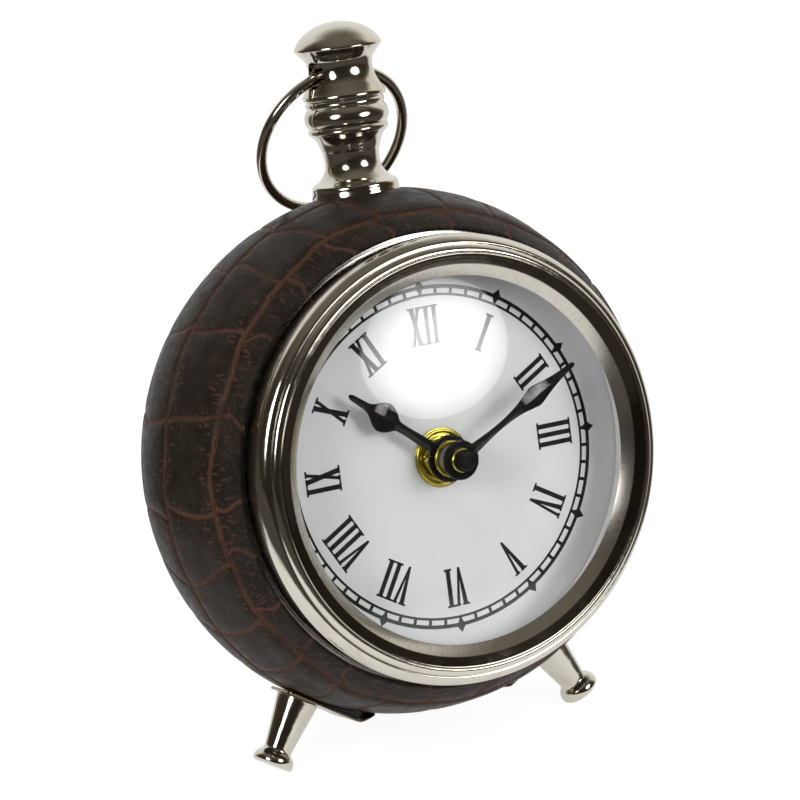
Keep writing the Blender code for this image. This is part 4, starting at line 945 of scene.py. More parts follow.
def slabs(name: str, shapes: Sequence[Shape], low: float, high: float,
          place: Matrix = HEAD) -> bpy.types.Object:
    """Flat shapes given a thickness, in one piece.

    Args:
        name: Name of the piece.
        shapes: Outlines, each counter-clockwise.
        low: Height of their backs.
        high: Height of their faces.
        place: Frame that they are drawn in.

    Returns:
        The new object.
    """
    points: list[tuple[float, float, float]] = []
    faces: list[list[int]] = []
    for shape in shapes:
        start, count = len(points), len(shape)
        points += [(x, y, high) for x, y in shape] + [(x, y, low) for x, y in shape]
        faces.append(list(range(start, start + count)))
        faces.append(list(range(start + 2 * count - 1, start + count - 1, -1)))
        for i in range(count):
            j = (i + 1) % count
            faces.append([start + i, start + count + i, start + count + j, start + j])
    return faces_outward(mesh_piece(name, np.array(points), faces, place, 20.0))


class Workshop:
    """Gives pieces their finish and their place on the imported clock."""

    def __init__(self) -> None:
        """Start with an empty shelf of finishes."""
        self.finishes = Finishes()

    def dress(self, piece: bpy.types.Object, *finishes: object) -> bpy.types.Object:
        """Give a piece its finishes, one for each material index.

        Args:
            piece: The piece.
            finishes: Its finishes.

        Returns:
            The piece.
        """
        piece.data.materials.clear()
        for finish in finishes:
            piece.data.materials.append(self.finishes.get(finish))
        return piece

    def fit(self, piece: bpy.types.Object, body: Body, slot: Slot, *nodes: str) -> bpy.types.Object:
        """Mount a finished piece on a body.

        Args:
            piece: The piece.
            body: The body that it moves with.
            slot: Not used.
            nodes: CAD nodes that it stands for.

        Returns:
            The piece.
        """
        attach(piece, body.value)
        if nodes:
            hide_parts(*nodes)
        LOG.info("%s: %d faces on %s", piece.name, len(piece.data.polygons), body.value)
        return piece

    def turn(self, name: str, profile: np.ndarray, steps: int, finish: object, body: Body, slot: Slot,
             *nodes: str, place: Matrix = HEAD, closed: bool = True,
             shape: Mover | None = None) -> bpy.types.Object:
        """Turn a piece, finish it and mount it.

        Args:
            name: Name of the piece.
            profile: (n, 2) radii and heights.
            steps: Number of columns round the axis.
            finish: Its finish.
            body: The body that it moves with.
            slot: Passed to fit, which does not use it.
            nodes: CAD nodes that it stands for.
            place: Frame whose z axis is the axis.
            closed: True for a ring, False for a solid whose profile ends on the axis.
            shape: Moves the points, as in lathe.

        Returns:
            The piece.
        """
        piece = lathe(name, profile, steps, place, closed, shape)
        return self.fit(self.dress(piece, finish), body, slot, *nodes)

    def keep(self, node: str, finish: object) -> None:
        """Leave a CAD node in place with a better material."""
        self.dress(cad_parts[node], finish)
        LOG.info("%s keeps its shape, in %s", node, finish.name)


# ------------------------------------------------------------------ the drum


@dataclass
class HideWrap:
    """The hide around the drum, embossed with rows of scales."""

    arc_r: float = 39.5
    arc_centre_r: float = 22.6
    arc_z: float = -21.2
    front_z: float = 2.6
    rear_z: float = -46.4
    front_lip_r: float = 52.36
    rear_lip_r: float = 50.66
    lip_rise: float = 1.0
    strip_mm: float = 2.6
    shoulder_mm: float = 0.65
    shoulder_z: float = -2.5
    thickness: float = 1.15
    columns: int = 1060
    rows_side: int = 132
    groove_mm: float = 0.30
    row_half: float = 0.42
    cross_half: float = 0.36
    cushion_mm: float = 0.22
    cushion_half: float = 1.1
    lip_pressed: float = 0.75
    seed: int = 40
    cut_pitch_deg: float = 15.4
    cut_pitch_spread: float = 2.6
    cut_slant_spread: float = 1.8
    last_gap_deg: float = 12.0
    girth_r: float = 60.0
    rows_z: tuple[float, ...] = (-1.4, -18.6, -35.6)
    wobble: tuple[tuple[float, float, float], ...] = ((0.55, 5.0, 0.4), (0.35, 11.0, 2.1), (0.22, 23.0, 1.0))
    front_cuts: tuple[tuple[float, float], ...] = (
        (-7.5, -8.5), (-19.8, -22.0), (-35.1, -33.5), (-49.9, -52.0), (-71.3, -70.0), (-91.0, -91.5),
        (-103.1, -101.5), (-117.5, -118.5), (-131.0, -130.0), (-144.0, -146.0))
    side_cuts: tuple[tuple[float, float], ...] = (
        (-8.9, -7.4), (-25.4, -20.0), (-36.6, -35.5), (-52.5, -51.6), (-74.2, -69.7), (-92.2, -92.7),
        (-109.3, -105.7), (-123.2, -120.0), (-135.8, -133.4), (-148.2, -145.5))

    def radius(self, z: np.ndarray) -> np.ndarray:
        """Radius of the hide's side at a height, a little fuller at its front shoulder."""
        full = self.shoulder_mm * np.exp(-(((z - self.shoulder_z) / 4.0) ** 2))
        return self.arc_centre_r + np.sqrt(self.arc_r**2 - (z - self.arc_z) ** 2) + full

    def path(self) -> tuple[np.ndarray, np.ndarray]:
        """The outer path from the front lip over the side to the rear lip.

        Returns:
            (n, 2) radii and heights, and how much of a lip each point is.
        """
        side_z = self.arc_z + self.arc_r * np.sin(np.linspace(
            math.asin((self.front_z - 0.5 - self.arc_z) / self.arc_r),
            math.asin((self.rear_z + 0.5 - self.arc_z) / self.arc_r), self.rows_side))
        side = np.stack([self.radius(side_z), side_z], axis=1)
        r, z = self.front_lip_r, self.front_z
        front = sampled([(r, z + 0.1), (r + 0.35, z + 0.85), (r + 0.95, z + self.lip_rise),
                         (r + 1.5, z + 0.4), tuple(side[0])], 0.3)
        r, z = self.rear_lip_r, self.rear_z
        rear = sampled([tuple(side[-1]), (r + 1.9, z - 0.75), (r + 1.1, z - 1.15), (r + 0.35, z - 1.05),
                        (r, z - 0.55)], 0.3)
        outer = np.concatenate([front[:-1], side, rear[1:]])
        fade = np.clip(1.0 - (side[0, 1] - side[:, 1]) / self.strip_mm, 0.0, 1.0) ** 0.7
        lip = np.concatenate([np.ones(len(front) - 1), fade, np.ones(len(rear) - 1)])
        return outer, np.convolve(np.pad(lip, 2, "edge"), np.ones(5) / 5, "valid")

    def line_z(self, base: float, angle: np.ndarray, seed: float) -> np.ndarray:
        """Height of a crease that runs round the drum."""
        bend = sum(size * np.sin(turns * angle + phase + seed * 1.7) for size, turns, phase in self.wobble)
        return base + bend

    def cuts(self, row: int) -> np.ndarray:
        """Angles of the cross creases of a row at its rear and front edges, in degrees.

        Args:
            row: 0 is the row beside the bezel.

        Returns:
            An (n, 2) array.
        """
        known = {0: self.front_cuts, 1: self.side_cuts}.get(row)
        if known is None:
            known = [(a - 1.2 + 1.8 * math.sin(7.1 * i + row), b + 1.3 * math.sin(4.3 * i + row))
                     for i, (b, a) in enumerate(self.side_cuts)]
        listed = [pair if row != 0 else pair[::-1] for pair in known]
        spread = np.random.default_rng(self.seed + row)
        angle = max(pair[1] for pair in listed)
        stop = min(pair[1] for pair in listed) + 360.0 - self.last_gap_deg
        while True:
            angle += self.cut_pitch_deg + spread.uniform(-self.cut_pitch_spread, self.cut_pitch_spread)
            if angle > stop:
                break
            listed.append((angle + spread.uniform(-self.cut_slant_spread, self.cut_slant_spread), angle))
        return np.array(listed)

    def crease(self, angle: np.ndarray, z: np.ndarray) -> tuple[np.ndarray, np.ndarray, np.ndarray]:
        """Distance from each place on the side to the nearest creases.

        Args:
            angle: Clockwise angle from XII, in radians.
            z: Height.

        Returns:
            Millimetres to the nearest crease round the drum and to the nearest one across it, and the side.
        """
        slope = self.arc_r / np.sqrt(np.maximum(self.arc_r**2 - (z - self.arc_z) ** 2, 1.0))
        lines = [self.line_z(base, angle, seed) for seed, base in enumerate(self.rows_z)]
        row_gap = np.min([np.abs(z - line) * slope for line in lines], axis=0)
        side = np.where(sum((z > line).astype(int) for line in lines) % 2 == 0, 1.0, -1.0)
        cross_gap = np.full(z.shape, 9.0)
        edges = [np.full(z.shape, 8.0), *lines, np.full(z.shape, -60.0)]
        degrees = np.degrees(angle)
        for row in range(len(edges) - 1):
            inside = (z <= edges[row]) & (z > edges[row + 1])
            top = np.minimum(edges[row], self.front_z)
            bottom = np.maximum(edges[row + 1], self.rear_z)
            share = (z - bottom) / np.maximum(top - bottom, 1.0)
            for rear_deg, front_deg in self.cuts(row):
                curve = 0.9 * np.sin(share * math.pi * 1.3 + rear_deg)
                at = rear_deg + (front_deg - rear_deg) * share + curve
                gap = np.abs((degrees - at + 180.0) % 360.0 - 180.0)
                gap_mm = np.radians(gap) * self.radius(np.clip(z, self.rear_z, self.front_z))
                cross_gap = np.where(inside, np.minimum(cross_gap, gap_mm), cross_gap)
        return row_gap, cross_gap, side

    def build(self, shop: Workshop) -> None:
        """Make the hide and fit it to the case.

        Args:
            shop: Finishes and mounts the pieces.
        """
        outer, lip = self.path()
        inner_z = np.linspace(self.rear_z - 0.2, self.front_z - 0.2, 9)
        inner_r = self.radius(np.clip(inner_z, self.rear_z, self.front_z)) - self.thickness
        inner = np.stack([inner_r, inner_z], axis=1)
        profile = np.concatenate([outer, inner])
        turned = np.linspace(-math.pi, math.pi, self.columns + 1)
        angle = np.tile(turned[:, None], (1, len(outer)))
        z = np.tile(outer[:, 1], (len(turned), 1))
        row_gap, cross_gap, side = self.crease(angle, z)
        nearest = np.minimum(row_gap, cross_gap)
        drop = self.groove_mm * np.exp(-(row_gap / self.row_half) ** 2)
        drop = np.maximum(drop, self.groove_mm * 0.8 * np.exp(-(cross_gap / self.cross_half) ** 2))
        drop = drop + self.cushion_mm * np.exp(-nearest / self.cushion_half)
        drop = drop * (1.0 - self.lip_pressed * lip[None, :])
        tangent = np.gradient(outer, axis=0)
        tangent /= np.linalg.norm(tangent, axis=1)[:, None]
        normal = np.stack([-tangent[:, 1], tangent[:, 0]], axis=1)
        r = np.concatenate([outer[None, :, 0] - drop * normal[None, :, 0],
                            np.tile(inner[:, 0], (len(turned), 1))], axis=1)
        height = np.concatenate([outer[None, :, 1] - drop * normal[None, :, 1],
                                 np.tile(inner[:, 1], (len(turned), 1))], axis=1)
        points = np.stack([r * np.sin(turned)[:, None], r * np.cos(turned)[:, None], height], axis=2)
        rows = len(profile)
        faces = []
        for column in range(self.columns):
            a, b = column * rows, (column + 1) * rows
            for row in range(rows):
                after = (row + 1) % rows
                faces.append((a + row, b + row, b + after, a + after))
        for column, order in ((0, range(rows)), (self.columns, range(rows - 1, -1, -1))):
            faces.append([column * rows + row for row in order])
        piece = mesh_piece("hide_wrap", points.reshape(-1, 3), faces, HEAD, 60.0)
        run = np.r_[0, np.cumsum(np.linalg.norm(np.diff(profile, axis=0), axis=1))]
        far = np.full((len(turned), len(inner)), 9.0)
        hide = np.stack([np.tile((turned * self.girth_r)[:, None], (1, rows)), np.tile(run, (len(turned), 1)),
                         np.c_[side, far]], axis=2)
        gaps = np.stack([np.c_[row_gap, far], np.c_[cross_gap, far],
                         np.tile(np.r_[lip, np.zeros(len(inner))], (len(turned), 1))], axis=2)
        keep_vectors(piece, "hide", hide.reshape(-1, 3))
        keep_vectors(piece, "crease", gaps.reshape(-1, 3))
        faces_outward(piece)
        shop.fit(shop.dress(piece, HIDE), Body.CASE, Slot.LEATHER, "leather_wrap")


@dataclass
class RearLid:
    """The pressed cover on the back, with a rolled bead at its edge and a finger notch."""

    steps: int = 288
    notch_r: float = 5.0
    notch_depth: float = 1.5
    notch_deg: float = 270.0
    notch_from_r: float = 46.5
    notch_fade: float = 2.5
    stops: tuple[Stop, ...] = (
        (0.0, -46.35), (42.9, -46.35, 0.3), (44.95, -46.35, 0.3), (45.05, -42.35, 0.15),
        (45.95, -42.35, 0.15), (46.0, -46.8, 0.25), (49.2, -46.92, 0.12), (49.55, -47.35), (49.0, -47.85),
        (47.6, -47.9), (45.0, -47.9), (43.95, -47.8), (43.2, -47.4), (42.2, -47.3), (36.0, -47.3),
        (35.2, -47.12), (34.2, -47.05), (14.0, -47.05), (12.8, -47.1), (12.0, -47.3), (0.0, -47.3))

    def notched(self, grid: np.ndarray, angles: np.ndarray) -> np.ndarray:
        """Press the finger notch into the lid's edge.

        Args:
            grid: The (columns, rows, 3) points.
            angles: Angle of each column.

        Returns:
            The moved points.
        """
        reach = np.hypot(grid[:, :, 0], grid[:, :, 1])
        across = (np.degrees(angles)[:, None] - self.notch_deg + 180.0) % 360.0 - 180.0
        gap = np.radians(np.abs(across)) * reach
        dip = self.notch_depth * np.clip(1.0 - (gap / self.notch_r) ** 2, 0.0, 1.0) ** 0.5
        past = reach - self.notch_from_r
        dip = np.where(past > 0, dip * np.clip(past / self.notch_fade, 0, 1), 0.0)
        share = 1.0 - dip / np.maximum(reach, 1.0)
        grid[:, :, 0] *= share
        grid[:, :, 1] *= share
        return grid

    def build(self, shop: Workshop) -> None:
        """Make the lid and fit it to its own body."""
        shop.turn("rear_cover", sampled(self.stops, 0.6), self.steps, SPUN_STEEL, Body.LID, Slot.STEEL,
                  "rear_lid", closed=False, shape=self.notched)


# ------------------------------------------------------------------ the front


@dataclass
class Bezel:
    """The turned ring that holds the glass: an inner bevel, a flat land darkened as painted reflection, and
    two beads outside it.
    """

    steps: int = 336
    bevel_r: float = 45.08
    bevel_z: float = 10.62
    land_r: float = 47.68
    land_z: float = 12.7
    stops: tuple[Stop, ...] = (
        (42.45, 10.58), (42.4, 10.72, 0.05), (44.95, 12.72, 0.1), (45.2, 12.86, 0.1), (46.4, 13.4),
        (47.35, 13.78), (47.62, 13.74, 0.06), (47.76, 13.44, 0.05), (48.12, 13.5), (48.7, 13.34),
        (49.2, 12.94), (49.48, 12.46), (49.6, 12.12, 0.05), (49.9, 12.22), (50.6, 11.88), (51.2, 11.24),
        (51.6, 10.54), (51.78, 9.88, 0.08), (51.82, 9.5, 0.06), (51.97, 9.2, 0.06), (51.96, 7.8),
        (51.88, 5.8), (51.74, 2.5, 0.2), (50.62, 2.42, 0.05), (50.6, 0.35, 0.15), (48.65, 0.35, 0.1),
        (48.65, 8.98, 0.05), (46.0, 9.76), (44.02, 10.42), (42.45, 10.58))

    def build(self, shop: Workshop) -> None:
        """Make the bezel, with bevel and land in their own finishes, the land's nickel darkened as painted
        reflection, and fit it to the case.

        Args:
            shop: Finishes and mounts the pieces.
        """
        profile = sampled(self.stops, 0.14)[:-1]
        piece = lathe("bezel_ring", profile, self.steps, HEAD, closed=True)
        shop.dress(piece, NICKEL, SPUN_NICKEL, DARKENED_LAND_NICKEL)
        inverse = HEAD.inverted()
        for face in piece.data.polygons:
            centre = (inverse @ face.center) / MM
            reach = math.hypot(centre.x, centre.y)
            if reach < self.bevel_r and centre.z > self.bevel_z:
                face.material_index = 1
            elif reach < self.land_r and centre.z > self.land_z:
                face.material_index = 2
        shop.fit(piece, Body.CASE, Slot.NICKEL, "bezel")


@dataclass
class Glazing:
    """The domed glass and the white ring that it stands on."""

    glass_r: float = 48.25
    edge_z: float = 8.7
    rise: float = 7.6
    thickness: float = 1.2
    spacer_foot_r: float = 47.0
    spacer_top_r: float = 47.4
    spacer_top_z: float = 7.15
    spacer_foot_z: float = 0.32
    steps: int = 240

    def dome_z(self, r: float) -> float:
        """Height of the glass's face at a radius."""
        sphere = (self.glass_r**2 + self.rise**2) / (2 * self.rise)
        return self.edge_z + self.rise - sphere + math.sqrt(sphere**2 - r**2)

    def build(self, shop: Workshop) -> None:
        """Make the glass and its ring and fit them to the case.

        Args:
            shop: Finishes and mounts the pieces.
        """
        radii = np.r_[np.linspace(0, self.glass_r - 0.5, 44), self.glass_r - 0.2, self.glass_r]
        last = self.glass_r
        outer = [(r, self.dome_z(r) - (0.12 if r == last else 0.0)) for r in radii]
        inner = [(r, self.dome_z(r) - self.thickness + (0.1 if r == last else 0.0)) for r in radii[::-1]]
        shop.turn("glass_dome", np.array(outer + inner), self.steps, GLASS, Body.CASE, Slot.GLASS, "glass",
                  closed=False)
        foot, top = self.spacer_foot_z, self.spacer_top_z
        ring = sampled([(self.spacer_foot_r, foot), (self.spacer_top_r, top, 0.15), (last, top, 0.1),
                        (last, foot, 0.1), (self.spacer_foot_r, foot)], 1.0)[:-1]
        shop.turn("spacer_ring", ring, self.steps, SPACER_WHITE, Body.CASE, Slot.WHITE, "dial_spacer")


@dataclass
class Dial:
    """The white dial with its printed minute track, hour points and Roman hours."""

    steps: int = 200
    radius: float = 50.2
    thickness: float = 0.8
    hole_r: float = 4.4
    ink_mm: float = 0.02
    track: tuple[float, float, float, float] = (37.3, 37.88, 39.0, 39.88)
    tick_half: float = 0.40
    point_tip_r: float = 41.35
    point_half: float = 1.15
    point_foot_r: float = 37.5
    foot_r: float = 26.1
    height: float = 9.05
    bar: float = 1.14
    hairline: float = 0.80
    serif: float = 0.50
    pitch: float = 2.12

    def ring(self, low: float, high: float, parts: int = 180) -> list[Shape]:
        """A printed ring as a run of short four-sided shapes.

        Args:
            low: Inner radius.
            high: Outer radius.
            parts: Number of shapes.

        Returns:
            The shapes.
        """
        shapes = []
        for i in range(parts):
            a, b = math.tau * i / parts, math.tau * (i + 1) / parts
            shapes.append([(low * math.sin(a), low * math.cos(a)), (high * math.sin(a), high * math.cos(a)),
                           (high * math.sin(b), high * math.cos(b)), (low * math.sin(b), low * math.cos(b))])
        return shapes

    def at(self, turn: float, shape: Sequence[tuple[float, float]]) -> Shape:
        """A shape drawn upright at XII, carried clockwise by an angle in radians."""
        cos, sin = math.cos(turn), math.sin(turn)
        return [(x * cos + y * sin, -x * sin + y * cos) for x, y in shape]

    def foot(self, left: float, right: float, y: float) -> Shape:
        """A serif between two places, standing up from a height."""
        return [(left, y), (right, y), (right, y + self.serif), (left, y + self.serif)]

    def letter_i(self, x: float) -> list[Shape]:
        """The strokes of an I about a place.

        Args:
            x: Its middle.

        Returns:
            The strokes.
        """
        half, wide, top = self.bar / 2, self.pitch / 2 - 0.03, self.height
        return [[(x - half, 0), (x + half, 0), (x + half, top), (x - half, top)],
                self.foot(x - wide, x + wide, 0), self.foot(x - wide, x + wide, top - self.serif)]

    def letter_v(self, x: float) -> list[Shape]:
        """The strokes of a V about a place.

        Args:
            x: Its middle.

        Returns:
            The strokes.
        """
        top, thick, thin = self.height, self.bar * 1.06, self.hairline
        under = top - self.serif
        return [[(x - 0.18, 0), (x + 0.40, 0), (x - 1.50 + thick, top), (x - 1.50, top)],
                [(x - 0.12, 0), (x + 0.40, 0), (x + 1.50, top), (x + 1.50 - thin, top)],
                self.foot(x - 1.92, x - 0.02, under), self.foot(x + 0.42, x + 1.90, under)]

    def letter_x(self, x: float) -> list[Shape]:
        """The strokes of an X about a place.

        Args:
            x: Its middle.

        Returns:
            The strokes.
        """
        top, thick, thin = self.height, self.bar * 1.06, self.hairline
        under = top - self.serif
        return [[(x + 1.48 - thick, 0), (x + 1.48, 0), (x - 1.42 + thick, top), (x - 1.42, top)],
                [(x - 1.48, 0), (x - 1.48 + thin, 0), (x + 1.42, top), (x + 1.42 - thin, top)],
                self.foot(x - 1.9, x - 0.3, 0), self.foot(x + 0.0, x + 1.95, 0),
                self.foot(x - 1.88, x + 0.0, under), self.foot(x + 0.3, x + 1.88, under)]

    def numeral(self, letters: str) -> list[Shape]:
        """The strokes of a Roman number, centred and drawn upright at XII.

        Args:
            letters: The number.

        Returns:
            The strokes.
        """
        widths = {"I": self.pitch, "V": 3.75, "X": 3.85}
        strokes = {"I": self.letter_i, "V": self.letter_v, "X": self.letter_x}
        x = -sum(widths[letter] for letter in letters) / 2
        shapes = []
        for letter in letters:
            shapes += strokes[letter](x + widths[letter] / 2)
            x += widths[letter]
        return [[(px, py + self.foot_r) for px, py in shape] for shape in shapes]

    def build(self, shop: Workshop) -> None:
        """Make the plate and its print and fit them to the case.

        Args:
            shop: Finishes and mounts the pieces.
        """
        plate = np.array([(self.hole_r, 0.0), (self.radius - 0.1, 0.0), (self.radius, -0.1),
                          (self.radius, -self.thickness), (self.hole_r, -self.thickness)])
        shop.turn("dial_face", plate, self.steps, DIAL_WHITE, Body.CASE, Slot.WHITE, "dial_plate")
        shapes = self.ring(*self.track[:2]) + self.ring(*self.track[2:])
        for minute in range(60):
            tick = [(-self.tick_half, self.track[0]), (self.tick_half, self.track[0]),
                    (self.tick_half, self.track[3]), (-self.tick_half, self.track[3])]
            shapes.append(self.at(math.tau * minute / 60, tick))
        wide_r = self.track[3] - 0.15
        half = self.point_half
        point = [(0, self.point_foot_r), (half, wide_r), (0, self.point_tip_r), (-half, wide_r)]
        for hour, letters in enumerate("XII I II III IV V VI VII VIII IX X XI".split()):
            turn = math.tau * hour / 12
            shapes.append(self.at(turn, point))
            shapes += [self.at(turn, shape) for shape in self.numeral(letters)]
        ink = slabs("dial_print", shapes, 0.002, self.ink_mm)
        shop.fit(shop.dress(ink, INK), Body.CASE, Slot.BLACK)


# ------------------------------------------------------------------ the hands


@dataclass
class Hand:
    """A pressed hand: a ridged blade that flows out of a flat hub, on a turned brass collet."""

    name: str
    nodes: tuple[str, str]
    body: Body
    length: float
    half_width: float
    hub_r: float
    bore_r: float
    base_z: float
    angle_deg: float
    outline: tuple[tuple[float, float], ...]
    collet: tuple[Stop, ...]
    thickness: float = 0.5
    ridge: float = 0.78
    edge: float = 0.26
    stations: int = 120
    steps: int = 96

    def blade(self) -> bpy.types.Object:
        """The blade, ridged along its middle.

        Returns:
            The piece.
        """
        known = np.array([(0.0, self.outline[0][1]), *self.outline])
        along = np.linspace(self.hub_r * 0.8 / self.length, 1.0, self.stations)
        along = np.r_[along[:-1], 1 - 0.5 * (1 - along[-2]), 1.0]
        curve = sampled([(self.length * share, self.half_width * width) for share, width in known], 0.12)
        half = np.interp(along * self.length, curve[:, 0], curve[:, 1])
        tip_r = half[-4]
        near = np.clip((self.length - along * self.length) / max(tip_r, 0.05), 0.0, 1.0)
        half = half * np.sqrt(np.maximum(1 - (1 - near) ** 2, 0.0)) + 0.01
        points, faces = [], []
        low = self.base_z + 0.02
        for share, width in zip(along, half):
            y = share * self.length
            rise = self.edge + (self.ridge - self.edge) * min(1.0, width / (0.3 * self.half_width)) * 0.9
            section = ((-width, low), (-width, low + self.edge * 0.7), (-width * 0.92, low + self.edge),
                       (0.0, low + rise), (width * 0.92, low + self.edge), (width, low + self.edge * 0.7),
                       (width, low))
            points += [(x, y, z) for x, z in section]
        count = 7
        for i in range(len(along) - 1):
            for j in range(count):
                k = (j + 1) % count
                faces.append((i * count + j, i * count + k, (i + 1) * count + k, (i + 1) * count + j))
        faces.append(tuple(range(count - 1, -1, -1)))
        faces.append(tuple((len(along) - 1) * count + j for j in range(count)))
        turn = HEAD @ Matrix.Rotation(-math.radians(self.angle_deg), 4, "Z")
        return faces_outward(mesh_piece(f"{self.name}_blade", np.array(points), faces, turn, 11.0))

    def build(self, shop: Workshop) -> None:
        """Make the hand and its collet and fit them to their arbor.

        Args:
            shop: Finishes and mounts the pieces.
        """
        shop.fit(shop.dress(self.blade(), LACQUER), self.body, Slot.BLACK, self.nodes[0])
        low, high = self.base_z, self.base_z + self.thickness
        disc = sampled([(self.bore_r, low), (self.hub_r - 0.1, low, 0.05), (self.hub_r, low + 0.12, 0.05),
                        (self.hub_r, high - 0.14, 0.08), (self.hub_r - 0.2, high, 0.08),
                        (self.bore_r, high, 0.0), (self.bore_r, low)], 0.3)[:-1]
        shop.turn(f"{self.name}_hub", disc, self.steps, LACQUER, self.body, Slot.BLACK)
        shop.turn(f"{self.name}_collet_ring", sampled(self.collet, 0.1)[:-1], self.steps, BRASS, self.body,
                  Slot.BRASS, self.nodes[1])


def hour_hand() -> Hand:
    """The hour hand, a broad spade.

    Returns:
        The hand.
    """
    return Hand(
        "hour", ("hour_hand", "hour_collet"), Body.HOUR, 30.2, 3.45, 5.5, 3.95, 4.3, 308.5,
        ((0.20, 0.36), (0.30, 0.345), (0.46, 0.31), (0.52, 0.37), (0.565, 0.68), (0.615, 0.93), (0.665, 1.0),
         (0.715, 0.83), (0.765, 0.5), (0.81, 0.30), (0.90, 0.23), (0.97, 0.19), (1.0, 0.12)),
        ((3.2, 3.78, 0.05), (4.5, 3.78, 0.05), (4.5, 4.2, 0.05), (4.02, 4.24, 0.03), (4.02, 4.8, 0.04),
         (4.32, 4.9, 0.06), (4.3, 5.3, 0.12), (4.05, 5.62, 0.08), (3.78, 5.55, 0.06), (3.7, 5.0, 0.06),
         (3.2, 4.95, 0.05), (3.2, 3.78)))


def minute_hand() -> Hand:
    """The minute hand, a slim leaf.

    Returns:
        The hand.
    """
    return Hand(
        "minute", ("minute_hand", "minute_collet"), Body.MINUTE, 36.8, 2.5, 4.6, 2.25, 9.5, 62.6,
        ((0.12, 0.5), (0.22, 0.38), (0.33, 0.3), (0.42, 0.34), (0.52, 0.52), (0.61, 0.86), (0.655, 1.0),
         (0.72, 0.8), (0.80, 0.54), (0.88, 0.36), (0.975, 0.25), (1.0, 0.15)), ((1.42, 8.98, 0.05),
         (2.6, 8.98, 0.05), (2.6, 9.3, 0.05), (2.2, 9.34, 0.03), (2.2, 10.02, 0.04), (2.82, 10.06, 0.06),
         (2.84, 10.55, 0.12), (2.55, 10.92, 0.08), (2.25, 10.85, 0.06), (2.2, 10.5, 0.06),
         (1.42, 10.45, 0.05), (1.42, 8.98)))


@dataclass
class CentreStack:
    """What the hands stand on: washer, hexagon nut, threaded bush and the cap nut. The pipe end between them
    is dressed with the movement.
    """

    cap: tuple[Stop, ...] = (
        (0.0, 12.05), (1.4, 12.05), (1.42, 11.35, 0.05), (2.5, 11.35, 0.1), (2.62, 11.6, 0.08),
        (2.55, 12.1, 0.1), (2.1, 12.25, 0.06), (2.05, 12.85), (1.95, 13.15), (1.6, 13.32, 0.12),
        (1.15, 13.34), (0.95, 13.28), (0.75, 13.34), (0.5, 13.38), (0.32, 13.3), (0.16, 13.36), (0.0, 13.4))
    washer: tuple[Stop, ...] = (
        (4.3, 0.34, 0.05), (6.8, 0.34, 0.06), (6.97, 0.5), (6.88, 0.7), (6.6, 0.74, 0.05), (6.56, 0.92),
        (6.38, 1.08), (6.08, 1.1), (5.9, 0.98, 0.04), (5.72, 0.86), (5.45, 0.84), (5.3, 0.9, 0.05),
        (4.3, 0.9, 0.05), (4.3, 0.34))
    cap_steps: int = 96
    washer_steps: int = 128
    nut_steps: int = 144
    nut_flats: float = 9.6
    nut_z: tuple[float, float] = (1.42, 3.38)
    nut_bore: float = 4.05

    def nut_shape(self, grid: np.ndarray, angles: np.ndarray) -> np.ndarray:
        """Carry the outer wall of a ring out to six flats with their corners turned off.

        Args:
            grid: The (columns, rows, 3) points.
            angles: Angle of each column.

        Returns:
            The moved points.
        """
        reach = np.hypot(grid[:, :, 0], grid[:, :, 1])
        turn = (angles % (math.tau / 6)) - math.tau / 12
        flats = self.nut_flats / 2 / np.cos(turn)
        limit = self.nut_flats / 2 * 1.13
        middle = (self.nut_z[0] + self.nut_z[1]) / 2
        half = (self.nut_z[1] - self.nut_z[0]) / 2
        chamfer = limit - 0.28 * np.clip((np.abs(grid[:, :, 2] - middle) / half - 0.7) / 0.3, 0, 1)
        wall = np.minimum(np.tile(flats[:, None], (1, grid.shape[1])), chamfer)
        outer = reach > self.nut_flats / 2 - 0.2
        share = np.where(outer, wall / np.maximum(reach, 0.1), 1.0)
        grid[:, :, 0] *= share
        grid[:, :, 1] *= share
        return grid

    def build(self, shop: Workshop) -> None:
        """Make the stack and fit it.

        Args:
            shop: Finishes and mounts the pieces.
        """
        low, high = self.nut_z
        shop.turn("cap_nut_turned", sampled(self.cap, 0.06), self.cap_steps, CAP, Body.MINUTE, Slot.BLACK,
                  "cap_nut", closed=False)
        shop.turn("washer_ring", sampled(self.washer, 0.1)[:-1], self.washer_steps, BRASS, Body.CASE,
                  Slot.BRASS, "dial_washer")
        r = self.nut_flats / 2
        wall = [(r, low + (high - low) * i / 8) for i in range(9)]
        bore, lead = self.nut_bore, self.nut_bore + 0.15
        ring = np.array([(bore, low + 0.15), (lead, low), *wall, (lead, high), (bore, high - 0.15)])
        shop.turn("hexagon_nut", ring, self.nut_steps, BRASS, Body.CASE, Slot.BRASS, "dial_nut",
                  shape=self.nut_shape)
        shop.keep("threaded_bush", BRASS)


# ------------------------------------------------------------------ post, bail and feet


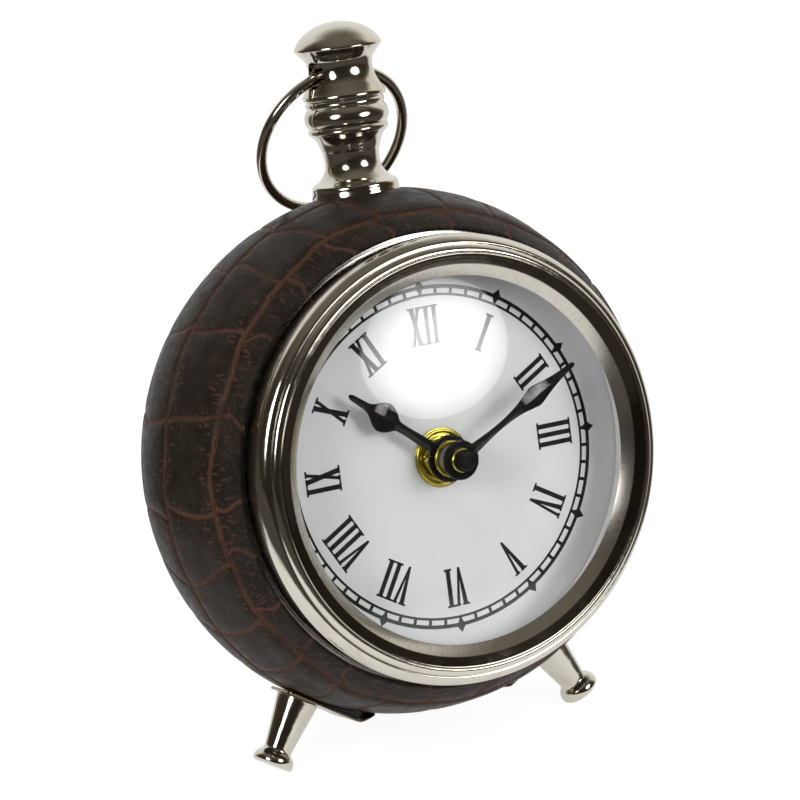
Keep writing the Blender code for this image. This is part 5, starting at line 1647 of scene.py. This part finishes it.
@dataclass
class Finial:
    """The turned post on top, bored across for the bail ring."""

    post_z: float = -24.9
    drop: float = 0.075
    hole_y: float = 89.225
    hole_r: float = 3.15
    hole_lift: float = 0.55
    hole_turn_deg: float = 9.0
    steps: int = 168
    crown_y: float = 101.8
    crown_deg: float = 74.0
    rim: tuple[float, float] = (10.4, 95.9)
    stops: tuple[Stop, ...] = (
        (10.38, 95.75), (10.2, 95.5, 0.1), (9.6, 94.75), (8.75, 93.85), (8.05, 92.95), (7.72, 91.9),
        (7.62, 90.8), (7.75, 89.3), (8.1, 88.1), (8.6, 87.05), (9.1, 86.05), (9.5, 85.3, 0.08),
        (9.74, 84.9), (9.8, 84.45), (9.7, 84.02), (9.4, 83.75, 0.06), (9.12, 83.45), (9.3, 83.1),
        (9.36, 82.7), (9.25, 82.3), (9.05, 81.95, 0.06), (9.4, 81.45), (9.78, 80.6), (9.93, 79.6),
        (9.82, 78.6), (9.42, 77.75), (9.08, 77.4, 0.06), (9.3, 77.05), (9.48, 76.6), (9.42, 76.15),
        (9.15, 75.8, 0.06), (8.95, 75.72, 0.05), (8.1, 74.75), (7.45, 73.55), (7.0, 72.1),
        (6.86, 71.7, 0.05), (6.74, 71.4), (6.55, 70.0), (6.5, 69.0), (6.58, 67.9), (6.9, 66.9),
        (7.55, 65.8), (8.5, 64.8), (9.55, 64.12), (10.02, 63.82, 0.1), (10.2, 63.3), (10.22, 62.7),
        (10.22, 60.6), (0.0, 60.6))

    def profile(self) -> np.ndarray:
        """The profile from the crown down, with heights along the post.

        Returns:
            An (n, 2) array of radii and heights.
        """
        rim_r, rim_y = self.rim
        rise = self.crown_y - rim_y
        crown = []
        edge = math.radians(self.crown_deg)
        for i in range(30):
            angle = edge * i / 29
            share = (math.cos(angle) - math.cos(edge)) / (1.0 - math.cos(edge))
            crown.append((rim_r * math.sin(angle) / math.sin(edge), rim_y + rise * share))
        body = sampled(self.stops, 0.2)
        return np.concatenate([np.array(crown), body])[::-1]

    def build(self, shop: Workshop) -> None:
        """Turn the post, bore it and fit it to the case.

        Args:
            shop: Finishes and mounts the pieces.
        """
        place = (HEAD @ Matrix.Translation(Vector((0, -self.drop, self.post_z)) * MM)
                 @ Matrix.Rotation(-math.pi / 2, 4, "X"))
        post = lathe("finial_post", self.profile(), self.steps, place)
        tool_place = (HEAD @ Matrix.Translation(Vector((0, self.hole_y + self.hole_lift, self.post_z)) * MM)
                      @ Matrix.Rotation(math.radians(90.0 + self.hole_turn_deg), 4, "Y"))
        bore = np.array([(0.0, -14.0), (self.hole_r, -14.0), (self.hole_r, 14.0), (0.0, 14.0)])
        bored(post, lathe("bail_bore", bore, 64, tool_place))
        shop.fit(shop.dress(post, NICKEL), Body.CASE, Slot.NICKEL, "finial")


@dataclass
class Bail:
    """The wire ring that hangs through the post."""

    radius: float = 18.7
    wire_r: float = 1.3
    half_sag: float = 1.1
    rest_deg: float = 29.422
    hinge_y: float = 89.225
    hinge_z: float = -24.9
    steps: int = 200
    sides: int = 24

    def build(self, shop: Workshop) -> None:
        """Bend the wire to a ring and fit it to its own body.

        Args:
            shop: Finishes and mounts the pieces.
        """
        turns = np.linspace(0, math.tau, self.sides, endpoint=False)
        section = np.stack([self.radius + self.wire_r * np.cos(turns), self.wire_r * np.sin(turns)], axis=1)
        place = (HEAD @ Matrix.Translation(Vector((0, self.hinge_y, self.hinge_z)) * MM)
                 @ Matrix.Rotation(math.radians(self.rest_deg), 4, "X")
                 @ Matrix.Translation(Vector((0, self.half_sag - self.radius, 0)) * MM))
        shop.turn("bail_wire", section, self.steps, NICKEL, Body.BAIL, Slot.NICKEL, "bail_ring", place=place)


@dataclass
class Feet:
    """Two turned feet in front and a short one behind, with the screws that hold them."""

    steps: int = 112
    front_origin: tuple[float, float, float] = (33.723, -9.083, 15.852)
    front_way: tuple[float, float, float] = (0.532876, -0.200411, -0.822118)
    rear_origin: tuple[float, float, float] = (0.0, 9.993, 8.820)
    rear_way: tuple[float, float, float] = (0.0, 0.324445, -0.945904)
    front: tuple[Stop, ...] = (
        (0.0, 16.19), (4.1, 16.19, 0.2), (4.45, 16.16, 0.15), (4.75, 15.8), (4.85, 15.2), (4.72, 14.4),
        (4.35, 13.7), (3.85, 13.15), (3.42, 12.7), (3.3, 12.2, 0.3), (3.42, 11.2), (3.9, 7.6), (4.45, 3.9),
        (4.98, 0.3), (5.0, -0.3), (0.0, -0.3))
    rear: tuple[Stop, ...] = (
        (0.0, 7.79), (4.1, 7.79, 0.2), (4.45, 7.76, 0.15), (4.75, 7.41), (4.85, 6.8), (4.72, 6.0),
        (4.35, 5.3), (3.85, 4.75), (3.42, 4.3), (3.3, 3.8, 0.3), (3.42, 3.1), (3.75, 1.8), (4.15, 0.3),
        (4.2, -0.9), (0.0, -0.9))

    def place(self, origin: Sequence[float], way: Sequence[float]) -> Matrix:
        """Frame of a foot, with its z axis from the root to the sole."""
        turn = Vector(way).normalized().to_track_quat("Z", "Y").to_matrix().to_4x4()
        return Matrix.Translation(Vector(origin) * MM) @ turn

    def build(self, shop: Workshop) -> None:
        """Turn the feet and fit them to the case.

        Args:
            shop: Finishes and mounts the pieces.
        """
        for name, side in (("left", -1), ("right", 1)):
            origin = (side * self.front_origin[0], *self.front_origin[1:])
            way = (side * self.front_way[0], *self.front_way[1:])
            shop.turn(f"foot_{name}_turned", sampled(self.front, 0.25), self.steps, NICKEL, Body.CASE,
                      Slot.NICKEL, f"front_foot_{name}", place=self.place(origin, way), closed=False)
            shop.keep(f"foot_screw_{name}", SCREW_STEEL)
        shop.turn("foot_rear_turned", sampled(self.rear, 0.25), self.steps, NICKEL, Body.CASE, Slot.NICKEL,
                  "rear_foot", place=self.place(self.rear_origin, self.rear_way), closed=False)
        shop.keep("foot_screw_rear", SCREW_STEEL)
        shop.keep("finial_screw", SCREW_STEEL)


@dataclass
class Saddle:
    """The pressed strip between a front foot and the hide, with a dark wedge behind it as painted shade in the
    gap.
    """

    side: int
    spread_deg: float = 32.2
    z: float = -22.3
    top: float = 62.14
    thickness: float = 0.6
    half_width: float = 5.3
    outer: float = -5.3
    inner: float = 18.9
    bend_from: float = 15.2
    bend_slope: float = 0.82
    edge: float = 0.13
    inset: float = 1.0
    hide_arc: tuple[float, float] = (22.6, 39.5)
    shade_wedge_from: float = 3.6
    shade_wedge_short: float = 4.2
    off_centre: float = 1.1

    def place(self) -> Matrix:
        """Frame of the strip: x inwards along it, y out of the drum, z across it.

        Returns:
            The frame.
        """
        turn = math.radians(self.spread_deg)
        inward = Vector((-self.side * math.cos(turn), -math.sin(turn), 0))
        out = Vector((self.side * math.sin(turn), -math.cos(turn), 0))
        frame_axes = Matrix((inward, out, inward.cross(out))).transposed().to_4x4()
        return HEAD @ Matrix.Translation(Vector((0, 0, self.z)) * MM) @ frame_axes

    def lift(self, x: float) -> float:
        """How far the strip is bent back to the hide at a place along it."""
        past = x - self.bend_from
        return self.bend_slope * (math.hypot(past, 0.6) + past) / 2

    def half(self, x: float) -> float:
        """Half the width of the strip at a place along it, with its corners rounded off.

        Args:
            x: The place.

        Returns:
            The half width.
        """
        inner = min(1.0, max(0.0, x - (self.inner - 2.6)) / 2.6)
        outer = min(1.0, max(0.0, self.outer + 1.2 - x) / 1.2)
        return self.half_width - 2.2 * (1 - math.sqrt(1 - inner**2)) - (1 - math.sqrt(1 - outer**2))

    def strip(self) -> tuple[list[tuple[float, float, float]], list[list[int]]]:
        """Points and faces of the pressed strip.

        Returns:
            The points and the faces.
        """
        points: list[tuple[float, float, float]] = []
        faces: list[list[int]] = []
        places = np.linspace(self.outer, self.inner, 90)
        for x in places:
            high = self.top - self.lift(x)
            thick = self.thickness * min(1.0, 0.55 + 0.45 * (self.inner - x) / 3.5)
            low, half, edge = high + thick, self.half(x), self.edge
            rim = half - edge
            points += [(x, high, -rim), (x, high + edge, -half), (x, low - edge, -half), (x, low, -rim),
                       (x, low, rim), (x, low - edge, half), (x, high + edge, half), (x, high, rim)]
        for i in range(len(places) - 1):
            a, b = i * 8, i * 8 + 8
            faces += [[a + j, b + j, b + (j + 1) % 8, a + (j + 1) % 8] for j in range(8)]
        faces += [list(range(8)), list(range(len(points) - 1, len(points) - 9, -1))]
        return points, faces

    def shade_wedge(self, start: int) -> tuple[list[tuple[float, float, float]], list[list[int]]]:
        """Points and faces of a dark wedge between strip and hide, painted shade that fills the gap.

        Args:
            start: Number of points that the piece already has.

        Returns:
            Its points and faces.
        """
        centre, arc = self.hide_arc
        widths = np.linspace(self.inset - self.half_width, self.half_width - self.inset, 9)
        count = len(widths)
        points: list[tuple[float, float, float]] = []
        faces: list[list[int]] = []
        places = np.linspace(self.shade_wedge_from, self.inner - self.shade_wedge_short, 40)
        for x in places:
            floor = self.top - self.lift(x) - 0.01
            over = []
            for w in widths:
                hide_r = centre + math.sqrt(arc**2 - (self.side * w - self.off_centre)**2) + 0.05
                over.append((x, min(floor - 0.02, math.sqrt(hide_r**2 - x**2)), w))
            points += over + [(x, floor, w) for w in widths[::-1]]
        loop = 2 * count
        for i in range(len(places) - 1):
            a, b = start + i * loop, start + (i + 1) * loop
            faces += [[a + j, b + j, b + (j + 1) % loop, a + (j + 1) % loop] for j in range(loop)]
        end = start + (len(places) - 1) * loop
        faces += [list(range(start, start + loop)), list(range(end + loop - 1, end - 1, -1))]
        return points, faces

    def build(self, shop: Workshop) -> None:
        """Press the strip and fit it to the case.

        Args:
            shop: Finishes and mounts the pieces.
        """
        name = "left" if self.side < 0 else "right"
        points, faces = self.strip()
        strip_faces = len(faces)
        more, others = self.shade_wedge(len(points))
        piece = mesh_piece(f"saddle_{name}_strip", np.array(points + more), faces + others, self.place(),
                           30.0)
        faces_outward(piece)
        # The wedge behind the strip takes dark rubber as painted shade.
        shop.dress(piece, AGED_NICKEL, RUBBER)
        for face in piece.data.polygons:
            if face.index >= strip_faces:
                face.material_index = 1
        shop.fit(piece, Body.CASE, Slot.NICKEL, f"foot_saddle_{name}")


# ------------------------------------------------------------------ inside the drum


@dataclass
class Inside:
    """The shell and the movement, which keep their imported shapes."""

    finishes: dict[str, object] = field(default_factory=lambda: {
        "case_shell": SPUN_STEEL,
        "movement_gasket": RUBBER,
        "movement_front": MOVEMENT_BLACK,
        "movement_back": MOVEMENT_BLACK,
        "train_plate": MOVEMENT_BLACK,
        "hour_wheel": PIPE_PLASTIC,
        "cannon_pinion": PIPE_STEEL,
        "minute_wheel": GEAR_WHITE,
        "setting_knob": GEAR_WHITE,
        "circuit_board": BOARD,
        "drive_coil": WINDING,
        "stator": SPUN_STEEL,
        "battery": CELL,
        "contact_plus": CONTACT_STEEL,
        "contact_minus": CONTACT_STEEL,
    })

    def build(self, shop: Workshop) -> None:
        """Dress the inner nodes."""
        for node, finish in self.finishes.items():
            shop.keep(node, finish)


# ------------------------------------------------------------------ studio


@dataclass
class Softbox:
    """A soft lamp that faces the dial."""

    name: str
    azimuth_deg: float
    elevation_deg: float
    distance_m: float
    size_m: tuple[float, float]
    power_w: float
    colour: Colour = WHITE
    fade: tuple[float, float, float, float] = (0.17, 0.50, 1.25, 0.28)  # from, to, and the glow at each

    def build(self, target: Vector) -> None:
        """Hang the lamp and turn it to the target.

        Args:
            target: The point that it faces.
        """
        azimuth, elevation = math.radians(self.azimuth_deg), math.radians(self.elevation_deg)
        way = Vector((math.sin(azimuth) * math.cos(elevation), -math.cos(azimuth) * math.cos(elevation),
                      math.sin(elevation)))
        data = bpy.data.lights.new(self.name, "AREA")
        data.shape = "ELLIPSE"
        data.size, data.size_y = self.size_m
        data.energy = self.power_w
        data.color = self.colour
        data.use_nodes = True
        nodes = Nodes(data.node_tree)
        glow = next(node for node in nodes.tree.nodes if node.bl_idname == "ShaderNodeEmission")
        spot = nodes.add("ShaderNodeNewGeometry").outputs["Parametric"]
        off = nodes.vector("DISTANCE", spot, (0.5, 0.5, 0.0)).outputs["Value"]
        fade = nodes.add("ShaderNodeMapRange")
        for index, value in enumerate((off, *self.fade)):
            nodes.feed(fade.inputs[index], value)
        nodes.feed(glow.inputs["Strength"], fade.outputs[0])
        lamp = bpy.data.objects.new(self.name, data)
        lamp.location = target + way * self.distance_m
        lamp.rotation_euler = (-way).to_track_quat("-Z", "Y").to_euler()
        bpy.context.scene.collection.objects.link(lamp)


@dataclass
class Studio:
    """A pale floor, soft light and the camera."""

    camera_mm: tuple[float, float, float] = (-429.58, 139.27, 808.6)
    right: tuple[float, float, float] = (0.87196, -0.12481, 0.47341)
    up: tuple[float, float, float] = (0.17368, 0.98292, -0.06077)
    lens_mm: float = 180.34
    floor_half_m: float = 3.0
    lamps: tuple[Softbox, ...] = (
        Softbox("key_softbox", 26.3, 24.4, 0.90, (0.51, 0.38), 3.7),
        Softbox("side_softbox", -65.0, 26.0, 0.95, (0.40, 0.46), 3.4),
    )
    fill: Colour = (0.69, 0.692, 0.69)
    overhead: Colour = (0.16, 0.145, 0.12)
    overhead_reach: float = 0.27
    overhead_from: tuple[float, float] = (0.55, 0.98)
    viewer: tuple[float, float, float] = (-0.5, -0.866, 0.0)
    glow_patch_m: tuple[float, float] = (0.13, 0.20)
    shadow_m: tuple[float, float] = (0.12, 0.40)
    floor_glow: float = 1.12
    # Colour that the far floor glows in reflections: painted reflection.
    far_floor_reflection: Colour = (0.05, 0.042, 0.032)
    around: tuple[tuple[float, Colour], ...] = (
        (0.0, (0.94, 0.94, 0.93)), (0.17, (0.82, 0.81, 0.78)), (0.215, (0.42, 0.39, 0.33)),
        (0.255, (0.13, 0.105, 0.07)), (0.36, (0.045, 0.036, 0.026)), (1.0, (0.020, 0.016, 0.012)))

    def camera(self) -> None:
        """Set up the camera where the photographer stood."""
        turn = HEAD.to_3x3()
        right = (turn @ Vector(self.right)).normalized()
        up = turn @ Vector(self.up)
        back = right.cross(up).normalized()
        up = back.cross(right).normalized()
        data = bpy.data.cameras.new("camera")
        data.lens = self.lens_mm
        data.sensor_width = 36.0
        data.clip_start = 0.05
        camera = bpy.data.objects.new("camera", data)
        camera.matrix_world = Matrix((
            (right.x, up.x, back.x, 0.0), (right.y, up.y, back.y, 0.0), (right.z, up.z, back.z, 0.0),
            (0.0, 0.0, 0.0, 1.0)))
        camera.location = HEAD @ (Vector(self.camera_mm) * MM)
        bpy.context.scene.collection.objects.link(camera)
        bpy.context.scene.camera = camera

    def floor(self) -> None:
        """Lay a pale floor that reads as white and keeps the clock's shadow; in reflections it glows white
        near the clock and dark further off, as painted reflections.
        """
        half = self.floor_half_m * 1000.0
        points = np.array([(-half, -half, 0.0), (half, -half, 0.0), (half, half, 0.0), (-half, half, 0.0)])
        floor = mesh_piece("studio_floor", points, [(0, 1, 2, 3)], Matrix.Identity(4))
        bench = Bench("white_floor")
        place = bench.place()
        speckle = bench.noise(place, 40.0, 2.0)
        away = bench.vector("LENGTH", place).outputs["Value"]
        bearing = bench.calc("DIVIDE", bench.vector("DOT_PRODUCT", place, self.viewer).outputs["Value"], away)
        # Painted reflection: in glossy rays the floor glows white near the clock and in front of it, and dark
        # elsewhere.
        glow_patch = bench.larger(bench.span(away, *self.glow_patch_m, 1.0, 0.0),
                             bench.span(bearing, -0.72, -0.44, 1.0, 0.0))
        bench.set(Base_Color=bench.blend(speckle, (0.88, 0.88, 0.88), (0.90, 0.90, 0.90)), Roughness=0.7)
        path = bench.add("ShaderNodeLightPath")
        seen = bench.larger(path.outputs["Is Camera Ray"], path.outputs["Is Transmission Ray"])
        seen = bench.times(seen, bench.span(away, *self.shadow_m, 0.82, 1.0))
        mirrored = path.outputs["Is Glossy Ray"]
        seen = bench.larger(seen, bench.times(mirrored, bench.span(glow_patch, 0.0, 1.0, 0.97, 0.5)))
        glow = bench.add("ShaderNodeEmission")
        dim = bench.times(mirrored, bench.minus(1.0, glow_patch))
        bench.feed(glow.inputs["Color"], bench.blend(dim, WHITE, self.far_floor_reflection))
        glow.inputs["Strength"].default_value = self.floor_glow
        bench.feed(bench.out.inputs["Surface"], bench.either(seen, bench.shader.outputs[0], glow.outputs[0]))
        floor.data.materials.append(bench.material)

    def world(self) -> None:
        """Surround the clock with even fill light and, in reflections, a room that is dark by the camera."""
        world = bpy.data.worlds.new("studio")
        world.use_nodes = True
        nodes = Nodes(world.node_tree)
        nodes.tree.nodes.clear()
        out = nodes.add("ShaderNodeOutputWorld")
        way = nodes.add("ShaderNodeTexCoord").outputs["Generated"]
        facing = nodes.vector("DOT_PRODUCT", way, [side / 2 for side in self.viewer]).outputs["Value"]
        height = nodes.part(way, 2)
        lifted = nodes.times(nodes.larger(height, 0.0), -self.overhead_reach)
        ramp = nodes.add("ShaderNodeValToRGB")
        nodes.feed(ramp.inputs[0], nodes.plus(lifted, nodes.plus(facing, 0.5)))
        stops = ramp.color_ramp.elements
        for index, (place, colour) in enumerate(self.around):
            stop = stops[index] if index < 2 else stops.new(place)
            stop.position, stop.color = place, (*colour, 1.0)
        room = nodes.blend(nodes.span(height, *self.overhead_from), ramp.outputs[0], self.overhead)
        path = nodes.add("ShaderNodeLightPath")
        surface = self.backdrop(nodes, self.fill)
        for ray, colour in (("Is Glossy Ray", room), ("Is Camera Ray", WHITE)):
            surface = nodes.either(path.outputs[ray], surface, self.backdrop(nodes, colour))
        nodes.feed(out.inputs["Surface"], surface)
        bpy.context.scene.world = world

    def backdrop(self, nodes: Nodes, colour: Socket | Colour) -> Socket:
        """One background of the world.

        Args:
            nodes: The world's nodes.
            colour: Its colour.

        Returns:
            The shader socket.
        """
        node = nodes.add("ShaderNodeBackground")
        nodes.feed(node.inputs["Color"], colour)
        return node.outputs[0]

    def build(self) -> None:
        """Set the studio up."""
        bpy.context.scene.view_settings.view_transform = "Standard"
        self.camera()
        self.floor()
        self.world()
        for lamp in self.lamps:
            lamp.build(DIAL_CENTRE)


def main() -> None:
    """Build the clock's looks, piece by piece."""
    logging.basicConfig(level=logging.INFO, format="%(message)s")
    Studio().build()
    shop = Workshop()
    for assembly in (HideWrap(), RearLid(), Bezel(), Glazing(), Dial(), hour_hand(), minute_hand(),
                     CentreStack(), Finial(), Bail(), Feet(), Saddle(-1), Saddle(1), Inside()):
        LOG.info("-- %s", type(assembly).__name__)
        assembly.build(shop)


if __name__ == "__main__":
    main()
